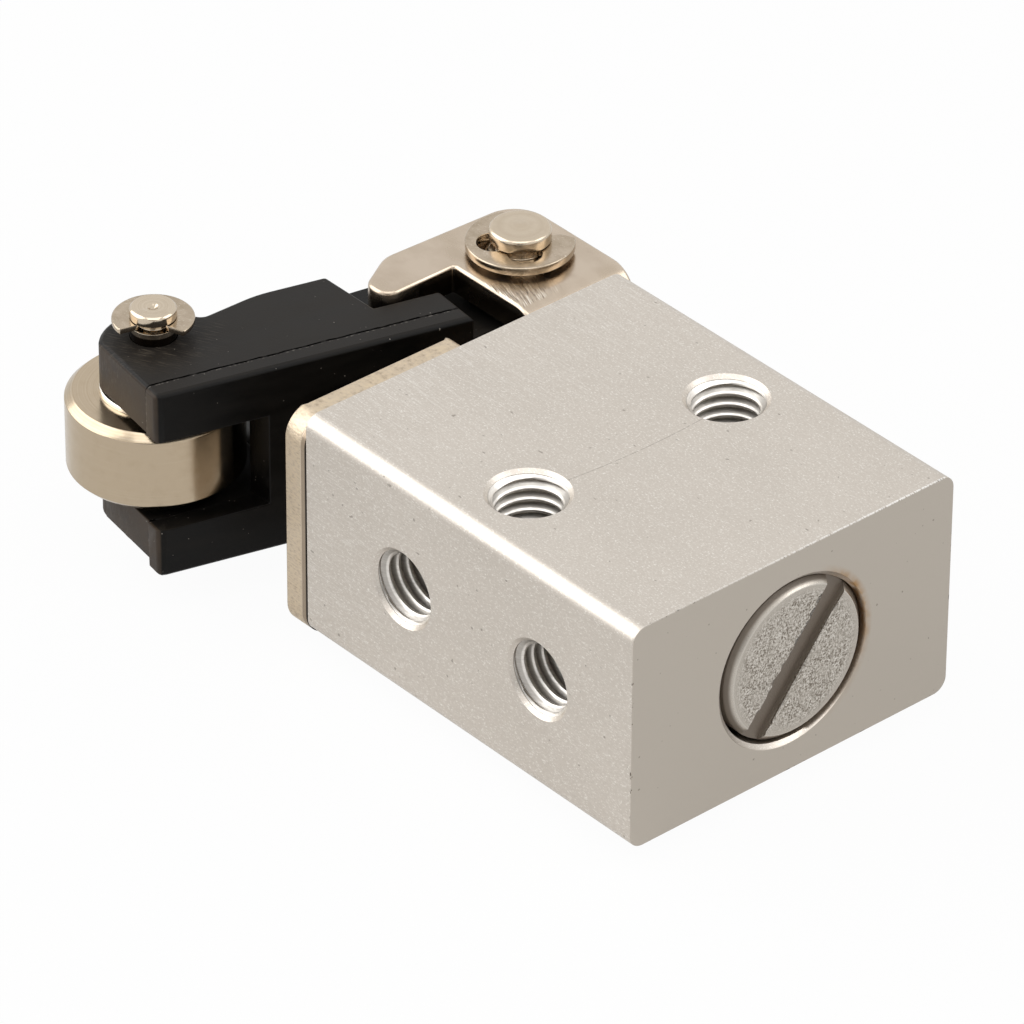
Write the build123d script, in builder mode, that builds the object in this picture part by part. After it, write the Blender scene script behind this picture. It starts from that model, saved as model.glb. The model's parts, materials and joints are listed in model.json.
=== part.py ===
from build123d import *
import math
import os

# A roller lever air valve in millimetres. The origin is the centre of the valve body's underside,
# +X runs along the bore from the lever end to the plug end, the ports face -Y, and +Z is up.

# Valve body
body_length = 30.2
body_width = 26.0
body_height = 16.0
body_edge_radius = 1.0
bore_radius = 3.8

# Threaded holes, drawn at the thread's major diameter
thread_radius = 2.5
thread_chamfer = 0.25
mounting_spacing = 16.1
first_port_distance = 9.06
port_spacing = 12.6
port_depth = 5.5
drilling_radius = 0.8

# Bracket sheet and its ears: reaches are from the body's lever end, offsets from the pivot's middle plane
sheet = 2.0
bend_radius = 2.1
bracket_drop = 0.6
bracket_overhang = 1.1
bracket_corner_radius = 1.8
ear_reach = 11.25
ear_inner_offset = 4.3
ear_inner_radius = 0.2
ear_corner_radius = 2.5
finger_reach = 11.7
finger_inner_reach = 8.01
finger_flat_reach = 10.0
finger_length = 9.88
finger_slant = 2.9
finger_inner_radius = 1.1
finger_tip_radius = 1.2
finger_outer_radius = 2.4
notch_width = 5.33
notch_margin = 0.4
notch_corner_radius = 0.65
stem_hole_radius = 2.5

# Bracket screws
screw_radius = 1.5
screw_head_radius = 2.75
screw_spacing = 19.0
screw_reach = 4.5
screw_recess_depth = 0.8
screw_recess_width = 0.5
screw_recess_length = 2.6
head_sink = 0.1

# Pivot of the lever, measured from the body's lever end and its far side
pivot_reach = 6.57
pivot_inset = 2.92
pivot_pin_radius = 2.0
pivot_pin_top = 1.9
pivot_pin_dome = 0.15
pivot_clip_height = 0.3
pivot_clip_radius = 3.5
pivot_clip_sheet = 0.6
pivot_groove_radius = 1.5
pivot_clip_mouth = 105.0
pivot_head_radius = 3.0

# Lever, drawn in its own frame: x from the pivot towards the valve, y from the tip towards the pivot
lever_angle = 15.54
lever_inset = 1.2
lever_play = 0.55
hub_gap = 0.1
web_step = 0.5
lever_face = 4.85
tip_beyond_roller = 2.62
tip_slope = 0.1134
tip_corner_radius = 0.5
tip_back_radius = 1.2
lever_edge_chamfer = 0.25
fork_gap = 6.56
hub_radius = 3.4
strip_end = 5.48
strip_width = 3.8
strip_end_lean = 0.57
step_distance = 10.61
back_at_step = 3.5
back_bend_radius = 8.0
back_bend_to_neck = 5.2
back_at_neck = 2.2
neck_to_roller = 2.43
neck_radius = 0.6
head_radius = 3.72
head_center_x = 1.1
step_corner_radius = 0.4
web_overlap = 1.0
web_relief_y = 7.89
web_relief_x = 4.49
web_relief_drop = 0.33
web_bulge = 0.55
web_bulge_place = 0.67
web_skin = 0.05
hub_flank_x = 3.74
hub_flank_y = 3.11
slot_floor_to_roller = 4.89
slot_corner_to_roller = 4.37
slot_corner_x = 2.88

# Roller and its pin
roller_offset = 1.79
roller_distance = 24.43
roller_radius = 5.7
roller_width = 5.7
roller_chamfer = 0.5
roller_hub_radius = 3.1
roller_gap = 0.08
roller_pin_radius = 1.5
roller_pin_top = 2.1
pin_chamfer = 0.15
roller_pin_dimple = 0.5
dimple_floor = 0.05
roller_head_radius = 2.25
roller_clip_height = 0.95
roller_clip_radius = 2.62
roller_clip_sheet = 0.4
roller_groove_radius = 1.0
roller_clip_mouth = -43.0
pin_head_height = 1.0
pin_hole_chamfer = 0.2

# Clearances
running_gap = 0.05
contact_gap = 0.04
groove_gap = 0.05

# Guide bush and plunger
bush_flange_radius = 5.5
bush_flange = 1.0
bush_length = 3.4
plunger_radius = 2.0
plunger_dome_radius = 3.0
plunger_flat = 0.4
collar_radius = 2.4
collar_length = 0.6

# Seals and their carriers along the bore
seal_inner_radius = 1.9
seal_section = 0.95
spacer_radius = 2.6
spacer_length = 2.1
cage_radius = 2.9
outlet_cage_length = 3.6
cage_hole_count = 4
spool_radius = 1.86
neck_stem_radius = 1.2
land_lap = 0.31
land_opening = 0.85
rear_land_length = 3.8
spool_tail_radius = 1.0
spool_tail_length = 1.5

# Return spring and its seat
spring_radius = 2.1
spring_wire = 0.25
spring_pitch = 0.95
seat_radius = 2.75
seat_thickness = 0.6
seat_hub_length = 0.8
seat_hub_gap = 0.15

# End plug
plug_bore_radius = 6.0
plug_bore_depth = 4.8
plug_sink = 0.1
plug_head_y = 0.36
plug_head_z = -0.15
plug_chamfer = 0.45
plug_slot_width = 1.8
plug_slot_depth = 1.2
plug_slot_angle = 51.6
nose_length = 2.5
nose_pocket_radius = 2.5
nose_pocket_depth = 1.0
ring_groove_radius = 2.8
ring_groove_width = 1.0
ring_groove_offset = 0.3
ring_section = 0.47
ring_seat_gap = 0.02

# Places worked out from the sizes
lever_end = -body_length / 2
plug_end = body_length / 2
middle_z = body_height / 2
plate_x = lever_end - sheet
pivot_x = lever_end - pivot_reach
pivot_y = body_width / 2 - pivot_inset
fitted_radius = bore_radius - running_gap

bracket_bottom = -bracket_drop
bracket_top = body_height - bracket_drop
bracket_middle = middle_z - bracket_drop
bracket_side = body_width / 2 + bracket_overhang
ear_inner_y = pivot_y - ear_inner_offset
notch_start_y = ear_inner_y - notch_width

lever_middle = bracket_middle + lever_play
lever_height = body_height - 2 * lever_inset
hub_height = body_height - 2 * sheet - 2 * (lever_play + hub_gap)
web_height = hub_height - 2 * web_step
notch_depth = (body_height - web_height) / 2 + lever_play + notch_margin
lever_bottom = lever_middle - lever_height / 2
lever_top = lever_middle + lever_height / 2

bore_plane = Plane(origin=(lever_end, 0, middle_z), x_dir=(0, 1, 0), z_dir=(1, 0, 0))
bore_section = Plane(origin=(lever_end, 0, middle_z), x_dir=(1, 0, 0), z_dir=(0, -1, 0))
bore_axis = Axis((lever_end, 0, middle_z), (1, 0, 0))
plug_face = Plane(origin=(plug_end, 0, middle_z), x_dir=(0, 1, 0), z_dir=(1, 0, 0))
lever_end_face = Plane(origin=(lever_end, 0, middle_z), x_dir=(0, -1, 0), z_dir=(-1, 0, 0))
plate_face = Plane(origin=(plate_x, 0, middle_z), x_dir=(0, -1, 0), z_dir=(-1, 0, 0))


def lever_plane(z):
    """The lever's own drawing plane at height z, turned to its rest angle about the pivot."""
    turn = math.radians(lever_angle)
    return Plane(
        origin=(pivot_x, pivot_y, z),
        x_dir=(math.cos(turn), -math.sin(turn), 0),
        z_dir=(0, 0, 1),
    )


roller_center = lever_plane(0).from_local_coords((-roller_offset, -roller_distance, 0))
roller_x = roller_center.X
roller_y = roller_center.Y


def sleeve(start, length, outer, inner):
    """A plain ring on the bore's axis."""
    with BuildPart() as ring:
        with BuildSketch(bore_plane.offset(start)):
            Circle(outer)
            Circle(inner, mode=Mode.SUBTRACT)
        extrude(amount=length)
    return ring.part


def seal_ring(center, ring_radius, section):
    """An O-ring on the bore's axis."""
    with BuildPart() as ring:
        with BuildSketch(bore_section):
            with Locations((center, ring_radius)):
                Circle(section)
        revolve(axis=bore_axis)
    return ring.part


def headed_pin(x, y, bottom, top, radius, head_radius, groove_bottom, groove_height, groove_radius):
    """A pin with a flat head below and a clip groove near its top."""
    axis = Axis((x, y, 0), (0, 0, 1))
    with BuildPart() as pin:
        with BuildSketch(Plane(origin=(x, y, 0), x_dir=(1, 0, 0), z_dir=(0, -1, 0))):
            with BuildLine():
                Polyline(
                    (0, bottom - pin_head_height),
                    (head_radius, bottom - pin_head_height),
                    (head_radius, bottom),
                    (radius, bottom),
                    (radius, groove_bottom),
                    (groove_radius, groove_bottom),
                    (groove_radius, groove_bottom + groove_height),
                    (radius, groove_bottom + groove_height),
                    (radius, top),
                    (0, top),
                    close=True,
                )
            make_face()
        revolve(axis=axis)
        chamfer(pin.edges().filter_by(GeomType.CIRCLE).group_by(Axis.Z)[0], pin_chamfer)
        chamfer(pin.edges().filter_by(GeomType.CIRCLE).group_by(Axis.Z)[-1], pin_chamfer)
    return pin.part


def e_clip(x, y, z, outer, groove, thickness, mouth_angle):
    """An E-shaped retaining ring: three prongs that grip the groove, two recesses and an open mouth."""
    grip = groove + running_gap / 2
    recess_radius = 0.30 * outer
    recess_distance = 0.50 * outer
    recess_angle = 44.0
    mouth_half_width = 0.85 * groove
    leg_inner_x = 0.56 * outer
    leg_inner_y = 0.50 * outer
    leg_outer_x = 0.66 * outer
    leg_corner_radius = 0.08 * outer
    with BuildPart() as clip:
        with BuildSketch(Plane(origin=(x, y, z)).rotated((0, 0, mouth_angle))) as outline:
            Circle(outer)
            Circle(grip, mode=Mode.SUBTRACT)
            for side in (-1, 1):
                angle = math.radians(180 + side * recess_angle)
                with Locations((recess_distance * math.cos(angle), recess_distance * math.sin(angle))):
                    Circle(recess_radius, mode=Mode.SUBTRACT)
            with BuildLine():
                Polyline(
                    (0, -mouth_half_width),
                    (groove, -mouth_half_width),
                    (leg_inner_x, -leg_inner_y),
                    (leg_outer_x, -outer),
                    (2 * outer, -outer),
                    (2 * outer, outer),
                    (leg_outer_x, outer),
                    (leg_inner_x, leg_inner_y),
                    (groove, mouth_half_width),
                    (0, mouth_half_width),
                    close=True,
                )
            make_face(mode=Mode.SUBTRACT)
            fillet(outline.vertices().group_by(Axis.X)[-1], leg_corner_radius)
        extrude(amount=thickness)
    return clip.part


# The block, its long edges rounded, with the stepped bore from the plug end
mounting_places = [(0, side * mounting_spacing / 2) for side in (-1, 1)]
port_distances = [first_port_distance, first_port_distance + port_spacing]

with BuildPart() as valve_body:
    with BuildSketch(bore_plane):
        RectangleRounded(body_width, body_height, body_edge_radius)
    extrude(amount=body_length)
    with Locations(plug_face):
        CounterBoreHole(
            radius=bore_radius,
            counter_bore_radius=plug_bore_radius,
            counter_bore_depth=plug_bore_depth,
        )
    with Locations(lever_end_face):
        Hole(radius=bush_flange_radius + running_gap, depth=bush_flange)
        with GridLocations(screw_spacing, 1, 2, 1):
            Hole(radius=screw_radius, depth=screw_reach + 2 * running_gap)
    for x, y in mounting_places:
        for face in (
            Plane(origin=(x, y, body_height), z_dir=(0, 0, 1)),
            Plane(origin=(x, y, 0), z_dir=(0, 0, -1)),
        ):
            with Locations(face):
                CounterSinkHole(
                    radius=thread_radius,
                    counter_sink_radius=thread_radius + thread_chamfer,
                    depth=body_height / 2,
                    counter_sink_angle=90,
                )
    for distance in port_distances:
        with Locations(Plane(origin=(lever_end + distance, -body_width / 2, middle_z), z_dir=(0, -1, 0))):
            CounterSinkHole(
                radius=thread_radius,
                counter_sink_radius=thread_radius + thread_chamfer,
                depth=port_depth,
                counter_sink_angle=90,
            )
            Hole(radius=drilling_radius, depth=body_width / 2)

valve_body.part.label = "valve_body"

# The bracket: a plate against the body, bent over into two ears, each with a finger that stops the lever
plate_middle_y = (bracket_side - body_width / 2) / 2
plate_width = body_width / 2 + bracket_side

with BuildPart() as lever_bracket:
    with BuildSketch(Plane(origin=(plate_x, 0, 0), x_dir=(0, 1, 0), z_dir=(1, 0, 0))) as plate:
        with Locations((plate_middle_y, bracket_middle)):
            Rectangle(plate_width, body_height)
        for z in (bracket_bottom, bracket_top):
            with Locations(((notch_start_y + ear_inner_y) / 2, z)):
                Rectangle(notch_width, 2 * notch_depth, mode=Mode.SUBTRACT)
        fillet(plate.vertices().group_by(Axis.X)[0], bracket_corner_radius)
        for z in (bracket_bottom, bracket_top):
            fillet(plate.vertices().sort_by_distance((notch_start_y, z))[0], notch_corner_radius)
    extrude(amount=sheet)

    finger_tip_y = pivot_y - finger_length
    ear_corners = {
        (-finger_inner_reach, ear_inner_y): ear_inner_radius,
        (-finger_inner_reach, finger_tip_y): finger_inner_radius,
        (-finger_flat_reach, finger_tip_y): finger_tip_radius,
        (-finger_reach, finger_tip_y + finger_slant): finger_outer_radius,
        (-ear_reach, bracket_side): ear_corner_radius,
    }
    for z in (bracket_bottom, bracket_top - sheet):
        with BuildSketch(Plane(origin=(lever_end, 0, z))) as ear:
            with BuildLine():
                Polyline((0, ear_inner_y), *ear_corners, (0, bracket_side), close=True)
            make_face()
            for corner, radius in ear_corners.items():
                fillet(ear.vertices().sort_by_distance(corner)[0], radius)
        extrude(amount=sheet)
    ear_middle_y = (ear_inner_y + bracket_side) / 2
    bend_edges = lever_bracket.edges().filter_by(Axis.Y).filter_by_position(
        Axis.Y, ear_middle_y - sheet / 10, ear_middle_y + sheet / 10
    )
    fillet(bend_edges.group_by(Axis.X)[-1], bend_radius)
    with Locations((pivot_x, pivot_y, bracket_top)):
        Hole(radius=pivot_pin_radius + running_gap)
    with Locations(plate_face):
        Hole(radius=stem_hole_radius, depth=sheet)
        with GridLocations(screw_spacing, 1, 2, 1):
            CounterSinkHole(
                radius=screw_radius + 2 * running_gap,
                counter_sink_radius=screw_head_radius + 2 * running_gap,
                depth=sheet,
                counter_sink_angle=90,
            )

lever_bracket.part.label = "lever_bracket"

# Two countersunk screws hold the bracket on the body
shank_radius = screw_radius - running_gap
head_height = screw_head_radius - shank_radius

with BuildPart() as bracket_screws:
    for side in (-1, 1):
        place = Plane(
            origin=(plate_x + head_sink, side * screw_spacing / 2, middle_z),
            x_dir=(0, -1, 0),
            z_dir=(-1, 0, 0),
        )
        with Locations(place):
            Cone(
                shank_radius,
                screw_head_radius - head_sink / 2,
                head_height,
                align=(Align.CENTER, Align.CENTER, Align.MAX),
            )
            Cylinder(
                shank_radius,
                sheet - head_sink + screw_reach,
                align=(Align.CENTER, Align.CENTER, Align.MAX),
            )
            for turn in (0, 90):
                Box(
                    screw_recess_length,
                    screw_recess_width,
                    screw_recess_depth,
                    rotation=(0, 0, turn),
                    align=(Align.CENTER, Align.CENTER, Align.MAX),
                    mode=Mode.SUBTRACT,
                )

bracket_screws.part.label = "bracket_screws"

# The lever: a fork with a solid root, a raised strip that meets the fingers, a thinner web and a hub
strip_back = lever_face - strip_width
step_slope = math.tan(math.radians(lever_angle))
step_back = step_distance + step_slope * (strip_back + back_at_step)
strip_back_end = strip_end + step_slope * strip_width * strip_end_lean
neck_distance = roller_distance - neck_to_roller
back_bend = neck_distance - back_bend_to_neck
lever_tip = roller_distance + tip_beyond_roller
slot_floor_y = roller_distance - slot_floor_to_roller
slot_corner_y = roller_distance - slot_corner_to_roller
slot_outer = lever_tip + 2 * head_radius
roller_slot_radius = math.hypot(slot_corner_x + roller_offset, slot_corner_to_roller)


def tip_y(x):
    """Where the slanted tip of the lever's head lies, at a distance x from the pivot towards the valve."""
    return -lever_tip - tip_slope * (lever_face - x)


with BuildPart() as lever:
    with BuildSketch(lever_plane(lever_bottom)) as outline:
        with BuildLine():
            Polyline(
                (lever_face, -strip_end),
                (strip_back, -strip_back_end),
                (strip_back, -step_distance),
                (-back_at_step, -step_back),
                (-back_at_step, -back_bend),
                (-back_at_neck, -neck_distance),
                (-head_center_x, -roller_distance - head_radius / 2),
                (-head_center_x, tip_y(-head_center_x)),
                (lever_face, -lever_tip),
                close=True,
            )
        make_face()
        with Locations((-head_center_x, -roller_distance)):
            Circle(head_radius)
        with BuildLine():
            Polyline(
                (2 * lever_face, tip_y(2 * lever_face)),
                (-2 * head_radius, tip_y(-2 * head_radius)),
                (-2 * head_radius, -slot_outer),
                (2 * lever_face, -slot_outer),
                close=True,
            )
        make_face(mode=Mode.SUBTRACT)
        corner_radii = {
            (lever_face, -lever_tip): tip_corner_radius,
            (-head_radius, tip_y(-head_radius)): tip_back_radius,
            (-back_at_step, -step_back): step_corner_radius,
            (-back_at_step, -back_bend): back_bend_radius,
            (-back_at_neck, -neck_distance + head_radius / 4): neck_radius,
        }
        for corner, radius in corner_radii.items():
            fillet(outline.vertices().sort_by_distance(corner)[0], radius)
    extrude(amount=lever_height)
    for face in (lever.faces().sort_by(Axis.Z)[0], lever.faces().sort_by(Axis.Z)[-1]):
        chamfer(face.edges(), lever_edge_chamfer)

    with BuildSketch(lever_plane(lever_middle - fork_gap / 2)):
        with BuildLine():
            slot_arc = CenterArc(
                (-roller_offset, -roller_distance),
                roller_slot_radius,
                math.degrees(math.atan2(roller_distance - slot_corner_y, slot_corner_x + roller_offset)),
                90,
            )
            Polyline(
                slot_arc @ 1,
                (-2 * head_radius, -neck_distance),
                (-2 * head_radius, -slot_outer),
                (2 * lever_face, -slot_outer),
                (2 * lever_face, -slot_floor_y),
                (lever_face, -slot_floor_y),
                slot_arc @ 0,
            )
        make_face()
    extrude(amount=fork_gap, mode=Mode.SUBTRACT)

    # Between the raised strips the face steps back, so that the pressed lever clears the plate
    with BuildSketch(lever_plane(lever_middle - web_height / 2)):
        with BuildLine():
            Polyline(
                (lever_face, -web_relief_y),
                (web_relief_x, -strip_end - web_relief_drop),
                (web_relief_x, -strip_end + web_overlap),
                (lever_face + web_overlap, -strip_end + web_overlap),
                (lever_face + web_overlap, -web_relief_y),
                close=True,
            )
        make_face()
    extrude(amount=web_height, mode=Mode.SUBTRACT)

    with BuildSketch(lever_plane(lever_middle - web_height / 2)):
        with BuildLine():
            back = ThreePointArc(
                (-hub_radius, 0),
                (-hub_radius - web_bulge, -step_distance * web_bulge_place),
                (-back_at_step + web_skin, -step_back - web_overlap),
            )
            Polyline(
                back @ 1,
                (lever_face, -step_back - web_overlap),
                (lever_face, -web_relief_y),
                (web_relief_x, -strip_end - web_relief_drop),
                (hub_flank_x, -hub_flank_y),
                (hub_radius, 0),
                back @ 0,
            )
        make_face()
    extrude(amount=web_height)
    with BuildSketch(lever_plane(lever_middle - hub_height / 2)):
        Circle(hub_radius)
    extrude(amount=hub_height)
    with Locations((pivot_x, pivot_y, lever_top)):
        Hole(radius=pivot_pin_radius + running_gap)
    for face in (
        Plane(origin=(roller_x, roller_y, lever_top), z_dir=(0, 0, 1)),
        Plane(origin=(roller_x, roller_y, lever_bottom), z_dir=(0, 0, -1)),
    ):
        with Locations(face):
            CounterSinkHole(
                radius=roller_pin_radius + running_gap,
                counter_sink_radius=roller_pin_radius + running_gap + pin_hole_chamfer,
                depth=lever_height / 2,
                counter_sink_angle=90,
            )

lever.part.label = "lever"

# The roller: one turned piece with a low hub on each face
roller_half = roller_width / 2
roller_hub_half = fork_gap / 2 - roller_gap
roller_hole = roller_pin_radius + running_gap

with BuildPart() as roller:
    with BuildSketch(Plane(origin=(roller_x, roller_y, lever_middle), x_dir=(1, 0, 0), z_dir=(0, -1, 0))):
        with BuildLine():
            Polyline(
                (roller_hole, -roller_hub_half),
                (roller_hub_radius, -roller_hub_half),
                (roller_hub_radius, -roller_half),
                (roller_radius - roller_chamfer, -roller_half),
                (roller_radius, -roller_half + roller_chamfer),
                (roller_radius, roller_half - roller_chamfer),
                (roller_radius - roller_chamfer, roller_half),
                (roller_hub_radius, roller_half),
                (roller_hub_radius, roller_hub_half),
                (roller_hole, roller_hub_half),
                close=True,
            )
        make_face()
    revolve(axis=Axis((roller_x, roller_y, 0), (0, 0, 1)))

roller.part.label = "roller"

# The roller's pin with a centre dimple, and its clip
roller_groove_z = lever_top + roller_clip_height - groove_gap
roller_pin_solid = headed_pin(
    roller_x,
    roller_y,
    lever_bottom,
    lever_top + roller_pin_top,
    roller_pin_radius,
    roller_head_radius,
    roller_groove_z,
    roller_clip_sheet + 2 * groove_gap,
    roller_groove_radius,
)

with BuildPart() as roller_pin:
    add(roller_pin_solid)
    with Locations((roller_x, roller_y, lever_top + roller_pin_top)):
        Cone(
            dimple_floor,
            roller_pin_dimple,
            roller_pin_dimple / 2,
            align=(Align.CENTER, Align.CENTER, Align.MAX),
            mode=Mode.SUBTRACT,
        )

roller_pin.part.label = "roller_pin"

with BuildPart() as roller_clip:
    add(
        e_clip(
            roller_x,
            roller_y,
            lever_top + roller_clip_height,
            roller_clip_radius,
            roller_groove_radius,
            roller_clip_sheet,
            roller_clip_mouth,
        )
    )

roller_clip.part.label = "roller_clip"

# The pivot pin with its slightly domed top, and its clip
pivot_groove_z = bracket_top + pivot_clip_height - groove_gap
pivot_top = bracket_top + pivot_pin_top
dome_rim = pivot_pin_radius - pin_chamfer
dome_radius = (dome_rim**2 + pivot_pin_dome**2) / (2 * pivot_pin_dome)

with BuildPart() as pivot_pin:
    add(
        headed_pin(
            pivot_x,
            pivot_y,
            bracket_bottom,
            pivot_top,
            pivot_pin_radius,
            pivot_head_radius,
            pivot_groove_z,
            pivot_clip_sheet + 2 * groove_gap,
            pivot_groove_radius,
        )
    )
    with BuildSketch(Plane(origin=(pivot_x, pivot_y, pivot_top), x_dir=(1, 0, 0), z_dir=(0, -1, 0))):
        with BuildLine():
            dome = RadiusArc((dome_rim, 0), (0, pivot_pin_dome), dome_radius)
            Polyline(dome @ 1, (0, 0), dome @ 0)
        make_face()
    revolve(axis=Axis((pivot_x, pivot_y, 0), (0, 0, 1)))

pivot_pin.part.label = "pivot_pin"

with BuildPart() as pivot_clip:
    add(
        e_clip(
            pivot_x,
            pivot_y,
            bracket_top + pivot_clip_height,
            pivot_clip_radius,
            pivot_groove_radius,
            pivot_clip_sheet,
            pivot_clip_mouth,
        )
    )

pivot_clip.part.label = "pivot_clip"

# The guide bush sits in the body behind the plate
bush_bore = plunger_radius + running_gap

with BuildPart() as guide_bush:
    with BuildSketch(bore_section):
        with BuildLine():
            Polyline(
                (0, bush_bore),
                (0, bush_flange_radius),
                (bush_flange, bush_flange_radius),
                (bush_flange, fitted_radius),
                (bush_length, fitted_radius),
                (bush_length, bush_bore),
                close=True,
            )
        make_face()
    revolve(axis=bore_axis)

guide_bush.part.label = "guide_bush"

# The plunger: its dome touches the lever's face, and its collar stops it behind the bush
turn = math.radians(lever_angle)
dome_center = (
    lever_face + plunger_dome_radius + contact_gap - pivot_y * math.sin(turn)
) / math.cos(turn) - pivot_reach
dome_tip = dome_center - plunger_dome_radius
dome_edge = dome_center - math.sqrt(plunger_dome_radius**2 - plunger_radius**2)
dome_slope = math.asin(plunger_radius / plunger_dome_radius) / 2
collar_start = bush_length + running_gap
plunger_end = collar_start + collar_length

with BuildPart() as plunger:
    with BuildSketch(bore_section):
        with BuildLine():
            ThreePointArc(
                (dome_tip, 0),
                (
                    dome_center - plunger_dome_radius * math.cos(dome_slope),
                    plunger_dome_radius * math.sin(dome_slope),
                ),
                (dome_edge, plunger_radius),
            )
            Polyline(
                (dome_edge, plunger_radius),
                (collar_start, plunger_radius),
                (collar_start, collar_radius),
                (plunger_end, collar_radius),
                (plunger_end, 0),
                (dome_tip, 0),
            )
        make_face()
    revolve(axis=bore_axis)
    with BuildSketch(bore_plane.offset(-sheet / 2)):
        for side in (-1, 1):
            with Locations((side * (plunger_radius - plunger_flat + collar_radius / 2), 0)):
                Rectangle(collar_radius, 2 * collar_radius)
    extrude(amount=plunger_end + sheet, mode=Mode.SUBTRACT)

plunger.part.label = "plunger"

# Seals and carriers follow each other along the bore, face to face
exhaust_seal_start = bush_length + spacer_length
exhaust_seal_center = exhaust_seal_start + seal_section
outlet_cage_start = exhaust_seal_start + 2 * seal_section
supply_seal_start = outlet_cage_start + outlet_cage_length
supply_seal_center = supply_seal_start + seal_section
spring_cage_start = supply_seal_start + 2 * seal_section
plug_shoulder = body_length - plug_bore_depth
nose_start = plug_shoulder - nose_length
seal_ring_radius = seal_inner_radius + seal_section

with BuildPart() as front_spacer:
    add(sleeve(bush_length, spacer_length, fitted_radius, spacer_radius))

front_spacer.part.label = "front_spacer"

with BuildPart() as exhaust_seal:
    add(seal_ring(exhaust_seal_center, seal_ring_radius, seal_section - running_gap / 2))

exhaust_seal.part.label = "exhaust_seal"

with BuildPart() as supply_seal:
    add(seal_ring(supply_seal_center, seal_ring_radius, seal_section - running_gap / 2))

supply_seal.part.label = "supply_seal"


def cage(start, length, hole_distance):
    """A sleeve with a ring of holes that line up with one port."""
    hole_plane = Plane(
        origin=(lever_end + hole_distance, 0, middle_z), x_dir=(0, 1, 0), z_dir=(1, 0, 0)
    )
    with BuildPart() as part:
        add(sleeve(start, length, fitted_radius, cage_radius))
        for index in range(cage_hole_count):
            angle = math.radians(360 * index / cage_hole_count)
            out = (0, math.cos(angle), math.sin(angle))
            origin = hole_plane.origin + Vector(out) * bore_radius
            with Locations(Plane(origin=origin, x_dir=(1, 0, 0), z_dir=out)):
                Hole(radius=drilling_radius, depth=bore_radius)
    return part.part


with BuildPart() as outlet_cage:
    add(cage(outlet_cage_start, outlet_cage_length, port_distances[0]))

outlet_cage.part.label = "outlet_cage"

with BuildPart() as spring_cage:
    add(cage(spring_cage_start, nose_start - spring_cage_start, port_distances[1]))

spring_cage.part.label = "spring_cage"

# The spool: the front land closes the exhaust seal when pressed, the rear land leaves the supply seal
front_land_end = exhaust_seal_center - land_opening
rear_land_start = supply_seal_center - land_lap
rear_land_end = rear_land_start + rear_land_length
spool_end = rear_land_end + spool_tail_length

with BuildPart() as spool:
    with BuildSketch(bore_section):
        with BuildLine():
            Polyline(
                (plunger_end, 0),
                (plunger_end, spool_radius),
                (front_land_end, spool_radius),
                (front_land_end, neck_stem_radius),
                (rear_land_start, neck_stem_radius),
                (rear_land_start, spool_radius),
                (rear_land_end, spool_radius),
                (rear_land_end, spool_tail_radius),
                (spool_end, spool_tail_radius),
                (spool_end, 0),
                close=True,
            )
        make_face()
    revolve(axis=bore_axis)

spool.part.label = "spool"

# The spring seat is a washer with a hub that centres the spring
seat_hub_radius = spring_radius - spring_wire - seat_hub_gap
seat_end = rear_land_end + seat_thickness

with BuildPart() as spring_seat:
    with BuildSketch(bore_section):
        with BuildLine():
            Polyline(
                (rear_land_end, spool_tail_radius + running_gap),
                (rear_land_end, seat_radius),
                (seat_end, seat_radius),
                (seat_end, seat_hub_radius),
                (seat_end + seat_hub_length, seat_hub_radius),
                (seat_end + seat_hub_length, spool_tail_radius + running_gap),
                close=True,
            )
        make_face()
    revolve(axis=bore_axis)

spring_seat.part.label = "spring_seat"

# The return spring runs from its seat into the plug's pocket
spring_start = seat_end + spring_wire + running_gap
spring_stop = nose_start + nose_pocket_depth - spring_wire - running_gap

with BuildPart() as return_spring:
    with BuildLine() as coil:
        Helix(
            pitch=spring_pitch,
            height=spring_stop - spring_start,
            radius=spring_radius,
            center=(lever_end + spring_start, 0, middle_z),
            direction=(1, 0, 0),
        )
    with BuildSketch(Plane(origin=coil.line @ 0, z_dir=coil.line % 0)):
        Circle(spring_wire)
    sweep(path=coil.line)

return_spring.part.label = "return_spring"

# The end plug: a slotted head that lies against one side of its counterbore, a grooved nose on the bore's
# axis and a pocket for the spring
plug_radius = plug_bore_radius - math.hypot(plug_head_y, plug_head_z) - running_gap
plug_head_length = plug_bore_depth - plug_sink
groove_end = plug_shoulder - ring_groove_offset
groove_start = groove_end - ring_groove_width
head_face = Plane(
    origin=(plug_end - plug_sink, plug_head_y, middle_z + plug_head_z),
    x_dir=(0, 1, 0),
    z_dir=(1, 0, 0),
)

with BuildPart() as end_plug:
    with BuildSketch(bore_section):
        with BuildLine():
            Polyline(
                (nose_start + nose_pocket_depth, 0),
                (nose_start + nose_pocket_depth, nose_pocket_radius),
                (nose_start, nose_pocket_radius),
                (nose_start, fitted_radius),
                (groove_start, fitted_radius),
                (groove_start, ring_groove_radius),
                (groove_end, ring_groove_radius),
                (groove_end, fitted_radius),
                (plug_shoulder, fitted_radius),
                (plug_shoulder, 0),
                close=True,
            )
        make_face()
    revolve(axis=bore_axis)
    with BuildSketch(head_face):
        Circle(plug_radius)
    extrude(amount=-plug_head_length)
    chamfer(end_plug.faces().sort_by(Axis.X)[-1].edges(), plug_chamfer)
    with BuildSketch(head_face):
        Rectangle(2 * plug_bore_radius, plug_slot_width, rotation=plug_slot_angle)
    extrude(amount=-plug_slot_depth, mode=Mode.SUBTRACT)

end_plug.part.label = "end_plug"

with BuildPart() as plug_o_ring:
    add(
        seal_ring(
            (groove_start + groove_end) / 2,
            ring_groove_radius + ring_seat_gap + ring_section,
            ring_section,
        )
    )

plug_o_ring.part.label = "plug_o_ring"

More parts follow.
